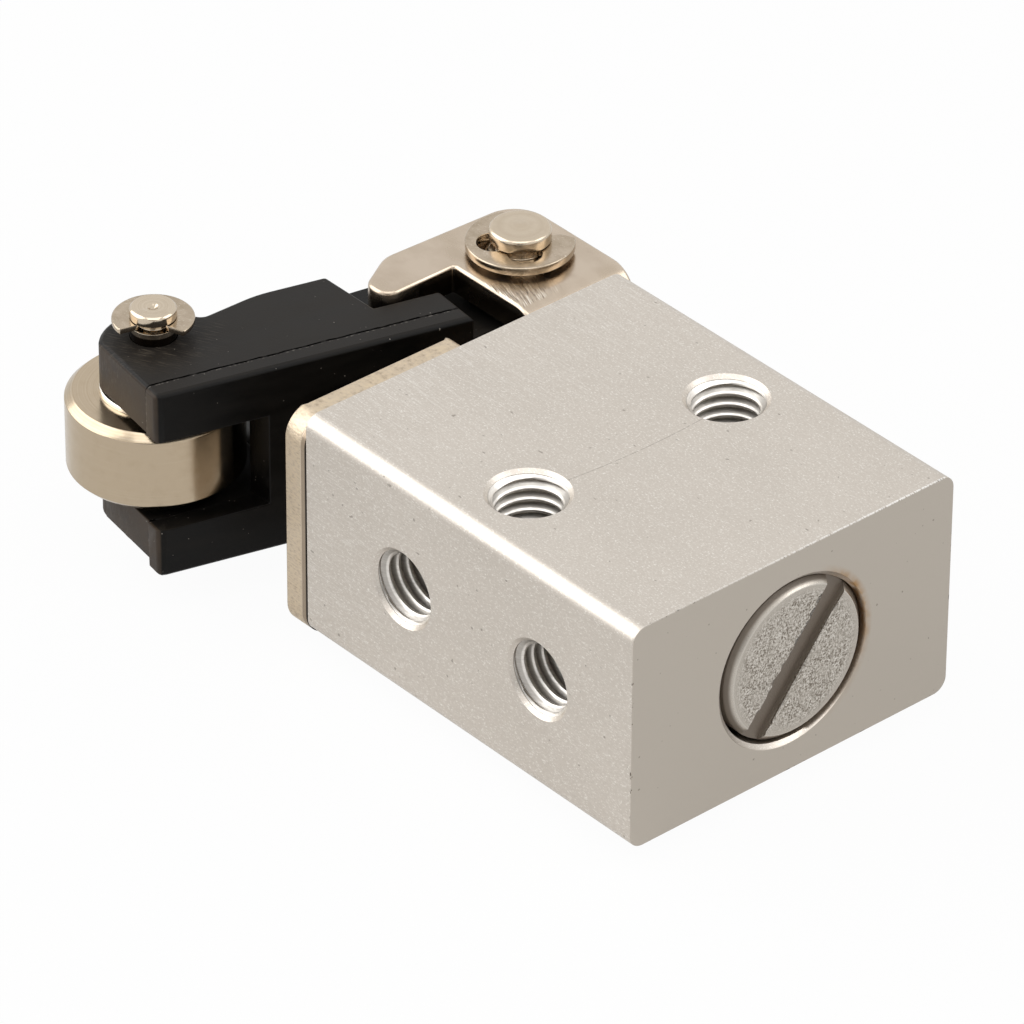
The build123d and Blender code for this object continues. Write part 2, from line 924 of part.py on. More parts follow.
# Every piece is written as its own file
os.makedirs("parts", exist_ok=True)
pieces = [
    valve_body,
    lever_bracket,
    bracket_screws,
    lever,
    roller,
    roller_pin,
    roller_clip,
    pivot_pin,
    pivot_clip,
    guide_bush,
    plunger,
    front_spacer,
    exhaust_seal,
    outlet_cage,
    supply_seal,
    spring_cage,
    spool,
    spring_seat,
    return_spring,
    end_plug,
    plug_o_ring,
]
for piece in pieces:
    export_step(piece.part, f"parts/{piece.part.label}.step")
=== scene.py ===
# %% [markdown]
# # A roller lever air valve
#
# The real thing is a small pneumatic valve: a satin aluminium block, a nickel plated steel bracket bent over one
# end, and a black nylon lever with a steel roller. The solids come ready from the CAD model and never move.
# This lesson dresses them: it rounds their edges, cuts the threads, and gives every surface its real finish.

import json
import math
import random

import bmesh
import bpy
from mathutils import Matrix, Vector

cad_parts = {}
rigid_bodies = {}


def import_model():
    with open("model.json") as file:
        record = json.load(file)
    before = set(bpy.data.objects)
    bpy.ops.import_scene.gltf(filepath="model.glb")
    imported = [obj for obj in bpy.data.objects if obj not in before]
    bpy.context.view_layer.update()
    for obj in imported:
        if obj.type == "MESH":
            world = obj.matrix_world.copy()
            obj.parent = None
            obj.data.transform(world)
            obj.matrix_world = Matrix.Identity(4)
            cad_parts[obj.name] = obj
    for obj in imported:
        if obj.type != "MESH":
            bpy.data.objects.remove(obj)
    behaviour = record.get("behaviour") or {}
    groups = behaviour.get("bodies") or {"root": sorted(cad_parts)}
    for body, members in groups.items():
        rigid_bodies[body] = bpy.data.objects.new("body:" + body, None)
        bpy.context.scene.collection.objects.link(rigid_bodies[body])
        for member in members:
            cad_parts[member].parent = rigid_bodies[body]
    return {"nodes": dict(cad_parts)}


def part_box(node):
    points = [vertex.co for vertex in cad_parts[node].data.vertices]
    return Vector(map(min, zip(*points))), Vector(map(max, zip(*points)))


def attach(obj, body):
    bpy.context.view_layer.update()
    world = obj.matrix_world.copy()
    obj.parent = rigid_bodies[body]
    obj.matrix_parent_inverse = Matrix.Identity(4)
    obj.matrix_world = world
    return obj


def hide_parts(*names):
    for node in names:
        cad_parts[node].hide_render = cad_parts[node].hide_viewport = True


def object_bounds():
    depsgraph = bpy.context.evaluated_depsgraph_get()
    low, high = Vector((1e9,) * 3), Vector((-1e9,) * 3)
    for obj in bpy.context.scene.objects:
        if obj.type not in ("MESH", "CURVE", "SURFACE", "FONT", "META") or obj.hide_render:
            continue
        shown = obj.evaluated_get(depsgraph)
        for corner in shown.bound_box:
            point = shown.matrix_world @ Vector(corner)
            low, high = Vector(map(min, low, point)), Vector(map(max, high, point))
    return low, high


for leftover in list(bpy.data.objects):
    bpy.data.objects.remove(leftover)

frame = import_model()
cad_low, cad_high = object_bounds()
MM = 0.001
print("CAD box in mm:", [round(v / MM, 2) for v in (*cad_low, *cad_high)])


def box_mm(node_name):
    """The lowest and highest corners of a CAD node, in millimetres."""
    return tuple(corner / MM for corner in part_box(node_name))


def centre_of(node_name):
    low, high = box_mm(node_name)
    return tuple((low + high) / 2)


def place_object(name, data):
    """A new object in the scene, at the origin and unturned."""
    made = bpy.data.objects.new(name, data)
    bpy.context.scene.collection.objects.link(made)
    return made


def object_from(sheet, name):
    """The same for a bmesh, which is freed."""
    mesh = bpy.data.meshes.new(name)
    sheet.to_mesh(mesh)
    sheet.free()
    return place_object(name, mesh)


# %% [markdown]
# ## The camera
#
# A long lens well away from a small object keeps its parallel edges nearly parallel, as the product picture does.
# The numbers describe one place: how far round, how high, how far away, and a small turn of the camera itself.
# An empty with a Track To constraint would aim it too, but a matrix says everything in one line.

# %% Place the camera
view_azimuth = math.radians(48.903)
view_elevation = math.radians(34.086)
view_roll = math.radians(0.339)
view_distance = 527.7 * MM
aim = Vector((-15.1, 0.0, 0.0)) * MM
slide_right = 2.88 * MM
slide_up = 2.739 * MM
focal_length = 294.31
sensor_width = 36.0


def heading(azimuth, elevation):
    """A unit vector: azimuth 0 looks from the ports' side and turns towards the plug, elevation goes up."""
    return Vector(
        (math.sin(azimuth) * math.cos(elevation), -math.cos(azimuth) * math.cos(elevation), math.sin(elevation))
    )


back = heading(view_azimuth, view_elevation)
level_right = Vector((math.cos(view_azimuth), math.sin(view_azimuth), 0.0))
level_up = back.cross(level_right)
right = math.cos(view_roll) * level_right + math.sin(view_roll) * level_up
up = math.cos(view_roll) * level_up - math.sin(view_roll) * level_right

lens = bpy.data.cameras.new("camera")
lens.lens = focal_length
lens.sensor_width = sensor_width
lens.clip_start = 0.01
lens.clip_end = 20.0
camera = place_object("camera", lens)
stand = aim + slide_right * right + slide_up * up + view_distance * back
turned = Matrix((right, up, back)).transposed().to_4x4()
camera.matrix_world = Matrix.Translation(stand) @ turned
bpy.context.scene.camera = camera
bpy.context.scene.view_settings.view_transform = "Standard"
print("camera stands at (mm):", [round(v / MM, 1) for v in stand])

# %% [markdown]
# ## Small tools for node trees
#
# Every finish below is a Principled shader fed by a few noise textures. They all read Object coordinates, turned
# into millimetres by a Mapping node, so a number such as 0.1 really means a tenth of a millimetre on the part.


# %% Node helpers
def srgb(red, green, blue):
    """A colour as an eye reads it on screen, 0 to 255, made linear for the shader."""
    linear = []
    for value in (red, green, blue):
        share = value / 255
        linear.append(share / 12.92 if share <= 0.04045 else ((share + 0.055) / 1.055) ** 2.4)
    return (*linear, 1.0)


def node(tree, kind, inputs=None, **settings):
    """Adds a shader node, sets its options, and fills or links its inputs."""
    made = tree.nodes.new("ShaderNode" + kind)
    for name, value in settings.items():
        setattr(made, name, value)
    for name, value in (inputs or {}).items():
        if isinstance(value, bpy.types.NodeSocket):
            tree.links.new(value, made.inputs[name])
        else:
            made.inputs[name].default_value = value
    return made


def cells(tree, size, centre=(0, 0, 0), turn=0.0):
    """Object coordinates whose unit is one cell of this size in millimetres, from a centre and turned about Z."""
    mapping = node(
        tree,
        "Mapping",
        {
            "Vector": node(tree, "TexCoord").outputs["Object"],
            "Location": [v * MM for v in centre],
            "Rotation": (0.0, 0.0, turn),
            "Scale": [v * MM for v in size],
        },
        vector_type="TEXTURE",
    )
    return mapping.outputs["Vector"]


def axes(tree, centre=(0, 0, 0), turn=0.0):
    """The three Object coordinates in millimetres, measured from a centre."""
    return node(tree, "SeparateXYZ", {0: cells(tree, (1, 1, 1), centre, turn)}).outputs


def radius_from(tree, centre, axis="Z"):
    """Distance in millimetres from a line along one axis."""
    flat = {"Z": (1, 1, 1e6), "X": (1e6, 1, 1), "Y": (1, 1e6, 1)}[axis]
    return node(tree, "VectorMath", {0: cells(tree, flat, centre)}, operation="LENGTH").outputs["Value"]


def noise(tree, vector, detail=2.0, roughness=0.5):
    """A noise value from 0 to 1."""
    made = node(tree, "TexNoise", {"Vector": vector, "Scale": 1.0, "Detail": detail, "Roughness": roughness})
    return made.outputs["Fac"]


def lathe_rings(tree, reach, width):
    """Noise of one number, the distance from an axis, so it makes rings about this wide."""
    inputs = {"W": maths(tree, "DIVIDE", reach, width), "Scale": 1.0, "Detail": 2.0}
    return node(tree, "TexNoise", inputs, noise_dimensions="1D").outputs["Fac"]


def remap(tree, value, low, high, to_low=0.0, to_high=1.0):
    """Stretches a value from one range onto another, and clamps it there."""
    made = node(
        tree,
        "MapRange",
        {"Value": value, "From Min": low, "From Max": high, "To Min": to_low, "To Max": to_high},
    )
    return made.outputs["Result"]


def maths(tree, operation, first, second=0.0):
    """One Math node."""
    return node(tree, "Math", {0: first, 1: second}, operation=operation).outputs[0]


def product(tree, *values):
    """Several values multiplied, so a mask holds only where all of them do."""
    result = values[0]
    for value in values[1:]:
        result = maths(tree, "MULTIPLY", result, value)
    return result


def near(tree, value, place, width, soft=0.02):
    """1 where a value lies within a width of a place, falling to 0 over a soft distance."""
    gap = maths(tree, "ABSOLUTE", maths(tree, "SUBTRACT", value, place))
    return remap(tree, gap, width, width + soft, 1.0, 0.0)


def blend(tree, share, first, second):
    """Mixes two colours by a share."""
    return node(tree, "Mix", {0: share, 6: first, 7: second}, data_type="RGBA").outputs[2]


def bump(tree, height, strength, distance, under=None):
    """Bump in millimetres of height, on top of another bump if one is given."""
    inputs = {"Height": height, "Strength": strength, "Distance": distance * MM}
    if under is not None:
        inputs["Normal"] = under
    return node(tree, "Bump", inputs).outputs["Normal"]


def seen_by_eye(tree):
    """1 for what the camera sees straight or through something clear."""
    path = node(tree, "LightPath").outputs
    return maths(tree, "MAXIMUM", path["Is Camera Ray"], path["Is Transmission Ray"])


def seen_by_metal(tree):
    return node(tree, "LightPath").outputs["Is Glossy Ray"]


def finish(name, metallic=0.0, specular=0.5):
    """A new material with a bare Principled shader. Uniform values sit on its own sockets."""
    material = bpy.data.materials.new(name)
    material.use_nodes = True
    shader = material.node_tree.nodes["Principled BSDF"]
    shader.inputs["Metallic"].default_value = metallic
    shader.inputs["Specular IOR Level"].default_value = specular
    return material, material.node_tree, shader


def wire(tree, shader, colour, roughness, normal):
    """Links the finished colour, roughness and normal."""
    tree.links.new(colour, shader.inputs["Base Color"])
    tree.links.new(roughness, shader.inputs["Roughness"])
    tree.links.new(normal, shader.inputs["Normal"])


# %% [markdown]
# ## Light
#
# The valve stood in a white light tent, so metal sees white nearly everywhere: all but the opening where the lens
# looks in, which makes the dark streaks on the pins. A large softbox on the left draws the long bright line on
# the rounded edge; one overhead and a smaller one behind light the chamfers and the small edges.

# %% Set up the tent
ambient_level = 0.25
lamp_reach = 0.55
opening_azimuth = math.radians(47)
opening_elevation = math.radians(20)
opening_rim = math.cos(math.radians(24))
opening_core = math.cos(math.radians(12))
opening_level = 0.3


def white_tent():
    """A world that is white to the eye, white with one dark opening to metal, and soft in the light it gives."""
    world = bpy.data.worlds.new("tent")
    world.use_nodes = True
    tree = world.node_tree
    tree.nodes.clear()
    looking = node(tree, "TexCoord").outputs["Object"]
    opening = tuple(heading(opening_azimuth, opening_elevation))
    facing = node(tree, "VectorMath", {0: looking, 1: opening}, operation="DOT_PRODUCT").outputs["Value"]
    dark = node(
        tree, "MapRange", {"Value": facing, "From Min": opening_rim, "From Max": opening_core},
        interpolation_type="SMOOTHSTEP",
    ).outputs["Result"]
    wall = (1.0, 1.0, 1.0, 1.0)
    gap = (opening_level, opening_level, opening_level, 1.0)
    white = node(tree, "Background", {"Color": wall, "Strength": 1.0})
    mirrored = node(tree, "Background", {"Color": blend(tree, dark, wall, gap), "Strength": 1.0})
    given = node(tree, "Background", {"Color": (1.0, 0.98, 0.95, 1.0), "Strength": ambient_level})
    lit = node(tree, "MixShader", {0: seen_by_metal(tree), 1: given.outputs[0], 2: mirrored.outputs[0]})
    seen = node(tree, "MixShader", {0: seen_by_eye(tree), 1: lit.outputs[0], 2: white.outputs[0]})
    tree.links.new(seen.outputs[0], node(tree, "OutputWorld").inputs["Surface"])
    return world


def softbox(name, azimuth, elevation, brightness, size):
    """A square lamp that faces the valve. Its brightness is in times the white of the tent."""
    data = bpy.data.lights.new(name, "AREA")
    data.size = size
    data.energy = brightness * math.pi * size**2
    lamp = place_object(name, data)
    away = heading(math.radians(azimuth), math.radians(elevation))
    lamp.location = away * lamp_reach
    lamp.rotation_mode = "QUATERNION"
    lamp.rotation_quaternion = away.to_track_quat("Z", "Y")
    print(f"{name}: {data.energy:.2f} W")


bpy.context.scene.world = white_tent()
softbox("key_softbox", azimuth=-48, elevation=34, brightness=1.9, size=0.62)
softbox("overhead_softbox", azimuth=49, elevation=68, brightness=1.3, size=0.46)
softbox("rear_softbox", azimuth=134, elevation=40, brightness=1.8, size=0.34)

# %% [markdown]
# ## The floor
#
# The ground is pure white. The floor is a pale, plain sheet; for the eye it is mixed nearly to white, and for
# metal about half way, so that it still keeps a faint shadow of the valve.

# %% Lay the floor
floor_size = 6.0
floor_drop = 0.02
floor_white = 0.96
floor_mirrored = 0.55


def pale_floor():
    sheet = bmesh.new()
    bmesh.ops.create_grid(sheet, x_segments=1, y_segments=1, size=floor_size / 2)
    bmesh.ops.translate(sheet, vec=(0, 0, cad_low.z - floor_drop * MM), verts=sheet.verts)
    floor = object_from(sheet, "floor")
    material, tree, shader = finish("pale_floor")
    shader.inputs["Base Color"].default_value = (0.86, 0.86, 0.86, 1.0)
    shader.inputs["Roughness"].default_value = 0.9
    light = node(tree, "Emission", {"Color": (1.0, 1.0, 1.0, 1.0), "Strength": 1.0})
    to_eye = product(tree, seen_by_eye(tree), floor_white)
    share = maths(tree, "MAXIMUM", to_eye, product(tree, seen_by_metal(tree), floor_mirrored))
    mix = node(tree, "MixShader", {0: share, 1: shader.outputs[0], 2: light.outputs[0]})
    tree.links.new(mix.outputs[0], tree.nodes["Material Output"].inputs["Surface"])
    floor.data.materials.append(material)


pale_floor()

# %% [markdown]
# ## From CAD solid to finished piece
#
# Nothing real has a perfectly sharp edge, and on metal that thin rounded line catches the light. A Bevel
# modifier on the CAD object would do, but its mesh is loose triangles. So a copy is merged, its flat faces are
# dissolved into single polygons, and bmesh bevels only the edges that turn sharply. The copy stands for the node.


# %% Copy, soften, dress
def copy_of(node_name):
    """A merged copy of a CAD solid, with every flat face as one polygon."""
    sheet = bmesh.new()
    sheet.from_mesh(frame["nodes"][node_name].data)
    bmesh.ops.remove_doubles(sheet, verts=sheet.verts, dist=0.0005 * MM)
    bmesh.ops.dissolve_limit(
        sheet, angle_limit=math.radians(0.5), verts=sheet.verts, edges=sheet.edges, use_dissolve_boundaries=False
    )
    return sheet


def slice_sheet(sheet, place, outward):
    """Cuts every face along one plane, so that points stand on it."""
    everything = sheet.verts[:] + sheet.edges[:] + sheet.faces[:]
    bmesh.ops.bisect_plane(sheet, geom=everything, dist=1e-8, plane_co=place, plane_no=outward)


def sharp_edges(sheet, angle=34.0):
    limit = math.radians(angle)
    return [edge for edge in sheet.edges if len(edge.link_faces) == 2 and edge.calc_face_angle() > limit]


def soften(sheet, edges, width, segments=2):
    """Rounds these edges by a width in millimetres."""
    bmesh.ops.bevel(
        sheet,
        geom=edges,
        offset=width * MM,
        offset_type="OFFSET",
        affect="EDGES",
        segments=segments,
        profile=0.5,
        material=-1,
        clamp_overlap=False,
    )


def soften_rest(sheet, edges, width):
    """Rounds the edges that an earlier bevel has left whole."""
    soften(sheet, [edge for edge in edges if edge.is_valid], width)


def dress(sheet, piece_name, node_name, body):
    """Makes the object that stands for a CAD node."""
    for face in sheet.faces:
        face.smooth = True
    for edge in sheet.edges:
        edge.smooth = True
    for edge in sharp_edges(sheet):
        edge.smooth = False
    open_edges = sum(1 for edge in sheet.edges if len(edge.link_faces) != 2)
    piece = object_from(sheet, piece_name)
    weighted = piece.modifiers.new("flat_faces_stay_flat", "WEIGHTED_NORMAL")
    weighted.keep_sharp = True
    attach(piece, body)
    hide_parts(node_name)
    print(f"{piece_name}: {len(piece.data.polygons)} faces, {open_edges} open edges")
    return piece


def rounded(node_name, piece_name, width, body, angle=34.0, segments=2):
    """The usual case: every sharp edge gets the same small rounding."""
    sheet = copy_of(node_name)
    soften(sheet, sharp_edges(sheet, angle), width, segments)
    return dress(sheet, piece_name, node_name, body)


def paint(piece, material):
    piece.data.materials.clear()
    piece.data.materials.append(material)


# %% [markdown]
# ## The block
#
# It is cut from a drawn and anodised bar. Its long sides keep very fine draw lines and a soft, slightly warm
# sheen full of tiny sparkles; the milled end is plainer and darker, the darkness partly its own finish and partly
# painted shade of the side turned from the key light. It has nicks along its edges, a painted highlight along its
# top edge, and an oily brown ring where the plug was pressed in. One material holds all this, because Object
# coordinates tell the shader where it is: the same noise is stretched along X for the lines, and masks do the rest.

# %% Block and its finish
body_low, body_high = box_mm("valve_body")
body_middle = centre_of("valve_body")
body_colour = srgb(206, 198, 188)
body_shade = srgb(186, 178, 168)
body_light = srgb(236, 232, 225)
end_finish_and_painted_shade = srgb(190, 182, 171)
nick_colour = srgb(112, 103, 92)
stain_colour = srgb(166, 126, 76)
body_roughness = 0.40
body_edge = 0.06
edge_band = 0.10
counterbore_radius = 6.0
mouth_chamfer = 0.28
plug_radius = 5.56
plug_offset = Vector((0, 0.36, -0.15))
plug_gap = 0.05
scratch_bow = 0.009
scratch_place = (0.9, 1.5)
scratch_half = 5.3


def nicks_and_painted_highlight(tree, x, y, z):
    """Masks along the rim of the plug's end: where it is nicked, and where its top edge gets a painted highlight."""
    past_side = maths(tree, "SUBTRACT", maths(tree, "ABSOLUTE", y), body_high.y - edge_band)
    from_middle = maths(tree, "ABSOLUTE", maths(tree, "SUBTRACT", z, body_middle[2]))
    past_top = maths(tree, "SUBTRACT", from_middle, body_high.z - body_middle[2] - edge_band)
    rim = remap(tree, maths(tree, "MAXIMUM", past_side, past_top), 0.0, 0.03)
    rim = product(tree, rim, remap(tree, x, body_high.x - edge_band - 0.03, body_high.x - edge_band))
    uneven = noise(tree, cells(tree, (0.5, 0.6, 0.6), centre=(2, 9, 4)), detail=4.0, roughness=0.7)
    fine = noise(tree, cells(tree, (0.3, 0.14, 0.3), centre=(1, 5, 4)), detail=2.0)
    nicks = product(tree, rim, remap(tree, uneven, 0.60, 0.64))
    # Painted highlight along the top edge of the end, brighter towards the back.
    painted_edge_highlight = product(tree, rim, remap(tree, z, body_high.z - 0.09, body_high.z - 0.03))
    painted_edge_highlight = product(tree, painted_edge_highlight, remap(tree, fine, 0.40, 0.52), remap(tree, y, -10.0, 8.0, 0.15, 0.8))
    return nicks, painted_edge_highlight


def anodised_aluminium():
    material, tree, shader = finish("satin_anodised_aluminium", metallic=1.0)
    x, y, z = axes(tree)
    draw_lines = noise(tree, cells(tree, (1.5, 0.07, 0.07)), detail=2.0)
    grain = noise(tree, cells(tree, (0.16, 0.09, 0.09)), detail=2.0, roughness=0.6)
    clouds = noise(tree, cells(tree, (8.0, 5.0, 5.0)), detail=2.0)
    ticks = noise(tree, cells(tree, (0.45, 0.3, 0.3), centre=(3, 1, 2)), detail=0.0)
    milled = remap(tree, x, body_high.x - 0.06, body_high.x - 0.02)
    unmilled = maths(tree, "SUBTRACT", 1.0, milled)
    drawn = product(tree, remap(tree, draw_lines, 0.52, 0.70), remap(tree, x, -15.0, -3.0, 0.45, 0.12), unmilled)

    colour = blend(tree, remap(tree, clouds, 0.3, 0.7, 0.0, 0.2), body_colour, body_shade)
    colour = blend(tree, drawn, colour, body_light)
    # Painted shade: the milled end is darker, partly its own finish and partly shade away from the key light.
    colour = blend(tree, milled, colour, end_finish_and_painted_shade)
    colour = blend(tree, product(tree, remap(tree, grain, 0.56, 0.70, 0.0, 0.8), unmilled), colour, body_light)
    colour = blend(tree, remap(tree, grain, 0.42, 0.28, 0.0, 0.5), colour, body_shade)
    colour = blend(tree, remap(tree, ticks, 0.83, 0.87, 0.0, 0.5), colour, nick_colour)

    bowed = maths(tree, "SUBTRACT", y, scratch_place[1])
    bowed = maths(tree, "ADD", x, product(tree, bowed, bowed, scratch_bow))
    scratch = product(
        tree,
        near(tree, bowed, scratch_place[0], 0.01, 0.03),
        near(tree, y, 0.0, scratch_half, 0.3),
        remap(tree, z, body_high.z - 0.1, body_high.z - 0.05),
        remap(tree, noise(tree, cells(tree, (1.0, 0.3, 1.0)), detail=2.0), 0.34, 0.5, 0.0, 0.5),
    )
    colour = blend(tree, scratch, colour, nick_colour)

    nicks, painted_edge_highlight = nicks_and_painted_highlight(tree, x, y, z)
    colour = blend(tree, nicks, colour, nick_colour)
    # Painted highlight: the end's top edge is painted near white.
    colour = blend(tree, painted_edge_highlight, colour, srgb(250, 248, 244))
    bore_reach = radius_from(tree, body_middle, "X")
    oil_stain_and_painted_shade = noise(tree, cells(tree, (0.3, 0.8, 0.8)), detail=3.0)
    stain = remap(tree, bore_reach, counterbore_radius + 0.05, counterbore_radius + 0.5, 1.0, 0.0)
    stain = product(tree, stain, remap(tree, y, 2.0, 5.0), remap(tree, z, 5.0, 9.0, 0.2, 1.0))
    at_end = remap(tree, x, body_high.x - 4, body_high.x - 3)
    stain = product(tree, stain, remap(tree, oil_stain_and_painted_shade, 0.35, 0.6, 0.3, 0.9), at_end)
    colour = blend(tree, stain, colour, stain_colour)

    roughness = remap(tree, grain, 0.2, 0.8, body_roughness - 0.04, body_roughness + 0.06)
    ripple = bump(tree, draw_lines, 0.12, 0.008)
    ripple = bump(tree, grain, 0.35, 0.006, under=ripple)
    ripple = bump(tree, maths(tree, "SUBTRACT", 1.0, nicks), 0.7, 0.05, under=ripple)
    wire(tree, shader, colour, roughness, ripple)
    return material


def press_mouth(sheet):
    """Chamfers the mouth of the plug's counterbore: its wall closes in on the plug, its rim stays."""
    bore = Vector((0, body_middle[1], body_middle[2]))
    chamfer_x = body_high.x - mouth_chamfer
    slice_sheet(sheet, (chamfer_x * MM, 0, 0), (1, 0, 0))
    pressed = 0
    for point in sheet.verts:
        offset = Vector((0, point.co.y, point.co.z)) / MM - bore
        if abs(offset.length - counterbore_radius) > 0.02 or point.co.x / MM > chamfer_x + 0.01:
            continue
        way = offset.normalized()
        lean = way.dot(plug_offset)
        plug_reach = lean + math.sqrt(plug_radius**2 - plug_offset.length_squared + lean**2)
        reach = min(counterbore_radius, max(plug_reach + plug_gap, counterbore_radius - mouth_chamfer))
        place = bore + way * reach
        point.co = Vector((point.co.x, place.y * MM, place.z * MM))
        pressed += 1
    print("counterbore points closed in:", pressed)


sheet = copy_of("valve_body")
press_mouth(sheet)
soften(sheet, sharp_edges(sheet, 60.0), body_edge)
block = dress(sheet, "block", "valve_body", "valve")
paint(block, anodised_aluminium())

# %% [markdown]
# ## The bracket
#
# It was punched from plated sheet and bent into a U. The punch pulls the outer skin round at its rim, leaves a
# smooth band under it, and then tears the rest: so the outer edges get a wide rounding here, and the cut
# wall has a bright band, a dark line and a sparkling grain, all found by the depth below the skin. Right where
# the plate meets the block a dark line of shadow is painted, and the ears' cut walls get a painted dark reflection.

# %% Bracket with rolled rims
bracket_low, bracket_high = box_mm("lever_bracket")
plate_skin = body_low.x
bracket_bend = 2.1
rolled_rim = 0.28
cut_edge = 0.06
plate_bottom = -0.35
plate_end = 3.0


def skin_depth(point):
    """How deep a point lies below the outer skin of the bent sheet, in millimetres."""
    x, z = point.x / MM, point.z / MM
    bend_x = plate_skin - bracket_bend
    for bend_z, outward in ((bracket_high.z - bracket_bend, 1), (bracket_low.z + bracket_bend, -1)):
        rise = (z - bend_z) * outward
        if rise > 0:
            if x > bend_x:
                return bracket_bend - math.hypot(x - bend_x, rise)
            return bracket_bend - rise
    return plate_skin - x


sheet = copy_of("lever_bracket")
edges = sharp_edges(sheet, 60.0)
rims = [edge for edge in edges if all(abs(skin_depth(point.co)) < 0.02 for point in edge.verts)]
others = [edge for edge in edges if edge not in rims]
soften(sheet, rims, rolled_rim, segments=4)
print("rims rolled:", len(rims), "other edges:", len(others))
soften_rest(sheet, others, cut_edge)
for point in sheet.verts:
    if point.co.y < plate_end * MM and point.co.z < plate_bottom * MM:
        point.co.z = plate_bottom * MM
bracket = dress(sheet, "bracket", "lever_bracket", "valve")

# %% Nickel plate
nickel_colour = srgb(200, 185, 167)
nickel_shade = srgb(178, 162, 142)
nickel_light = srgb(240, 232, 218)
torn_light = srgb(214, 197, 170)
torn_dark = srgb(160, 142, 116)
rolled_dark = srgb(148, 132, 113)
ear_wall_painted_reflection = srgb(104, 90, 72)
line_dark = srgb(70, 58, 44)
painted_gap_shadow = srgb(34, 28, 22)
cut_line = 0.5
scuffs_low = (-20.8, 5.0)
scuffs_high = (-15.6, 9.6)
scuff_lean = -0.33


def bracket_steel():
    material, tree, shader = finish("nickel_plated_bracket", metallic=1.0)
    x, y, z = axes(tree)
    mottle = noise(tree, cells(tree, (2.2, 1.6, 1.6)), detail=3.0)
    streaks = noise(tree, cells(tree, (1.0, 0.06, 0.4), centre=(-18, 7, 0), turn=scuff_lean), detail=2.0)
    grain = noise(tree, cells(tree, (0.35, 0.35, 0.12)), detail=3.0, roughness=0.65)
    colour = blend(tree, remap(tree, mottle, 0.35, 0.7, 0.0, 0.6), nickel_colour, nickel_shade)

    scuffed = product(
        tree,
        remap(tree, x, scuffs_low[0], scuffs_low[0] + 1.5),
        remap(tree, y, scuffs_low[1], scuffs_low[1] + 0.5),
        remap(tree, y, scuffs_high[1], scuffs_high[1] - 2.0),
        remap(tree, z, bracket_high.z - 0.1, bracket_high.z - 0.05),
    )
    colour = blend(tree, product(tree, scuffed, remap(tree, streaks, 0.56, 0.66)), colour, nickel_light)
    colour = blend(tree, product(tree, scuffed, remap(tree, streaks, 0.44, 0.36), 0.8), colour, line_dark)

    plate = remap(tree, y, plate_end, plate_end - 0.1)
    inward = maths(tree, "SUBTRACT", plate_skin, x)
    below = maths(tree, "SUBTRACT", bracket_high.z, z)
    above = maths(tree, "SUBTRACT", z, bracket_low.z)
    torn = product(tree, plate, remap(tree, inward, cut_line, cut_line + 0.08), remap(tree, inward, 1.97, 1.93))
    colour = blend(tree, product(tree, torn, remap(tree, grain, 0.3, 0.7)), colour, torn_light)
    colour = blend(tree, product(tree, torn, remap(tree, grain, 0.47, 0.3, 0.0, 0.5)), colour, torn_dark)
    rolled = product(tree, plate, remap(tree, inward, cut_line, cut_line - 0.05, 0.0, 0.8))
    colour = blend(tree, rolled, colour, rolled_dark)
    # Painted shadow: a near-black line on the cut wall right where the plate meets the block.
    gap = product(tree, plate, remap(tree, inward, 0.17, 0.10))
    colour = blend(tree, gap, colour, painted_gap_shadow)

    ear = maths(tree, "SUBTRACT", 1.0, plate)
    ear_depth = maths(tree, "MINIMUM", below, above)
    # Painted reflection: the ears' cut walls below the rolled rim are darkened, more so further from the block.
    ear_wall_reflection_mask = product(tree, ear, remap(tree, ear_depth, 0.45, 0.75), remap(tree, ear_depth, 1.97, 1.93))
    ear_wall_reflection_mask = product(tree, ear_wall_reflection_mask, remap(tree, inward, 0.9, 1.9, 0.25, 1.0), 0.9)
    colour = blend(tree, ear_wall_reflection_mask, colour, ear_wall_painted_reflection)

    roughness = maths(tree, "ADD", remap(tree, mottle, 0.25, 0.75, 0.20, 0.30), product(tree, torn, 0.2))
    height = bump(tree, product(tree, torn, grain), 0.8, 0.04)
    height = bump(tree, product(tree, scuffed, streaks), 0.5, 0.02, under=height)
    height = bump(tree, mottle, 0.2, 0.02, under=height)
    wire(tree, shader, colour, roughness, height)
    return material


paint(bracket, bracket_steel())

# %% [markdown]
# ## Turned parts
#
# The roller and the pins come off a lathe, so rings run round their axes. The rings come from noise of one
# number, the distance from the axis; a second noise, stretched round the axis, marks the sides.

# %% Roller, pins, clips and screws
wheel_centre = centre_of("roller")
hinge_centre = centre_of("pivot_pin")
roller_colour = srgb(189, 173, 150)
roller_shade = srgb(172, 154, 127)
painted_shaft_shade = srgb(58, 49, 40)
painted_hub_highlight = srgb(246, 240, 230)
hub_radius = 3.1
hub_seen = 3.5
hub_round = 0.15
roller_half = 2.85
recess_from, recess_to = 1.45, 2.3
clip_rim = 2.55
clip_rim_round = 0.12
clip_edge = 0.04
turned_edge = 0.05
shoulder_drop = 1.53
hinge_edge = 0.10
screw_edge = 0.04


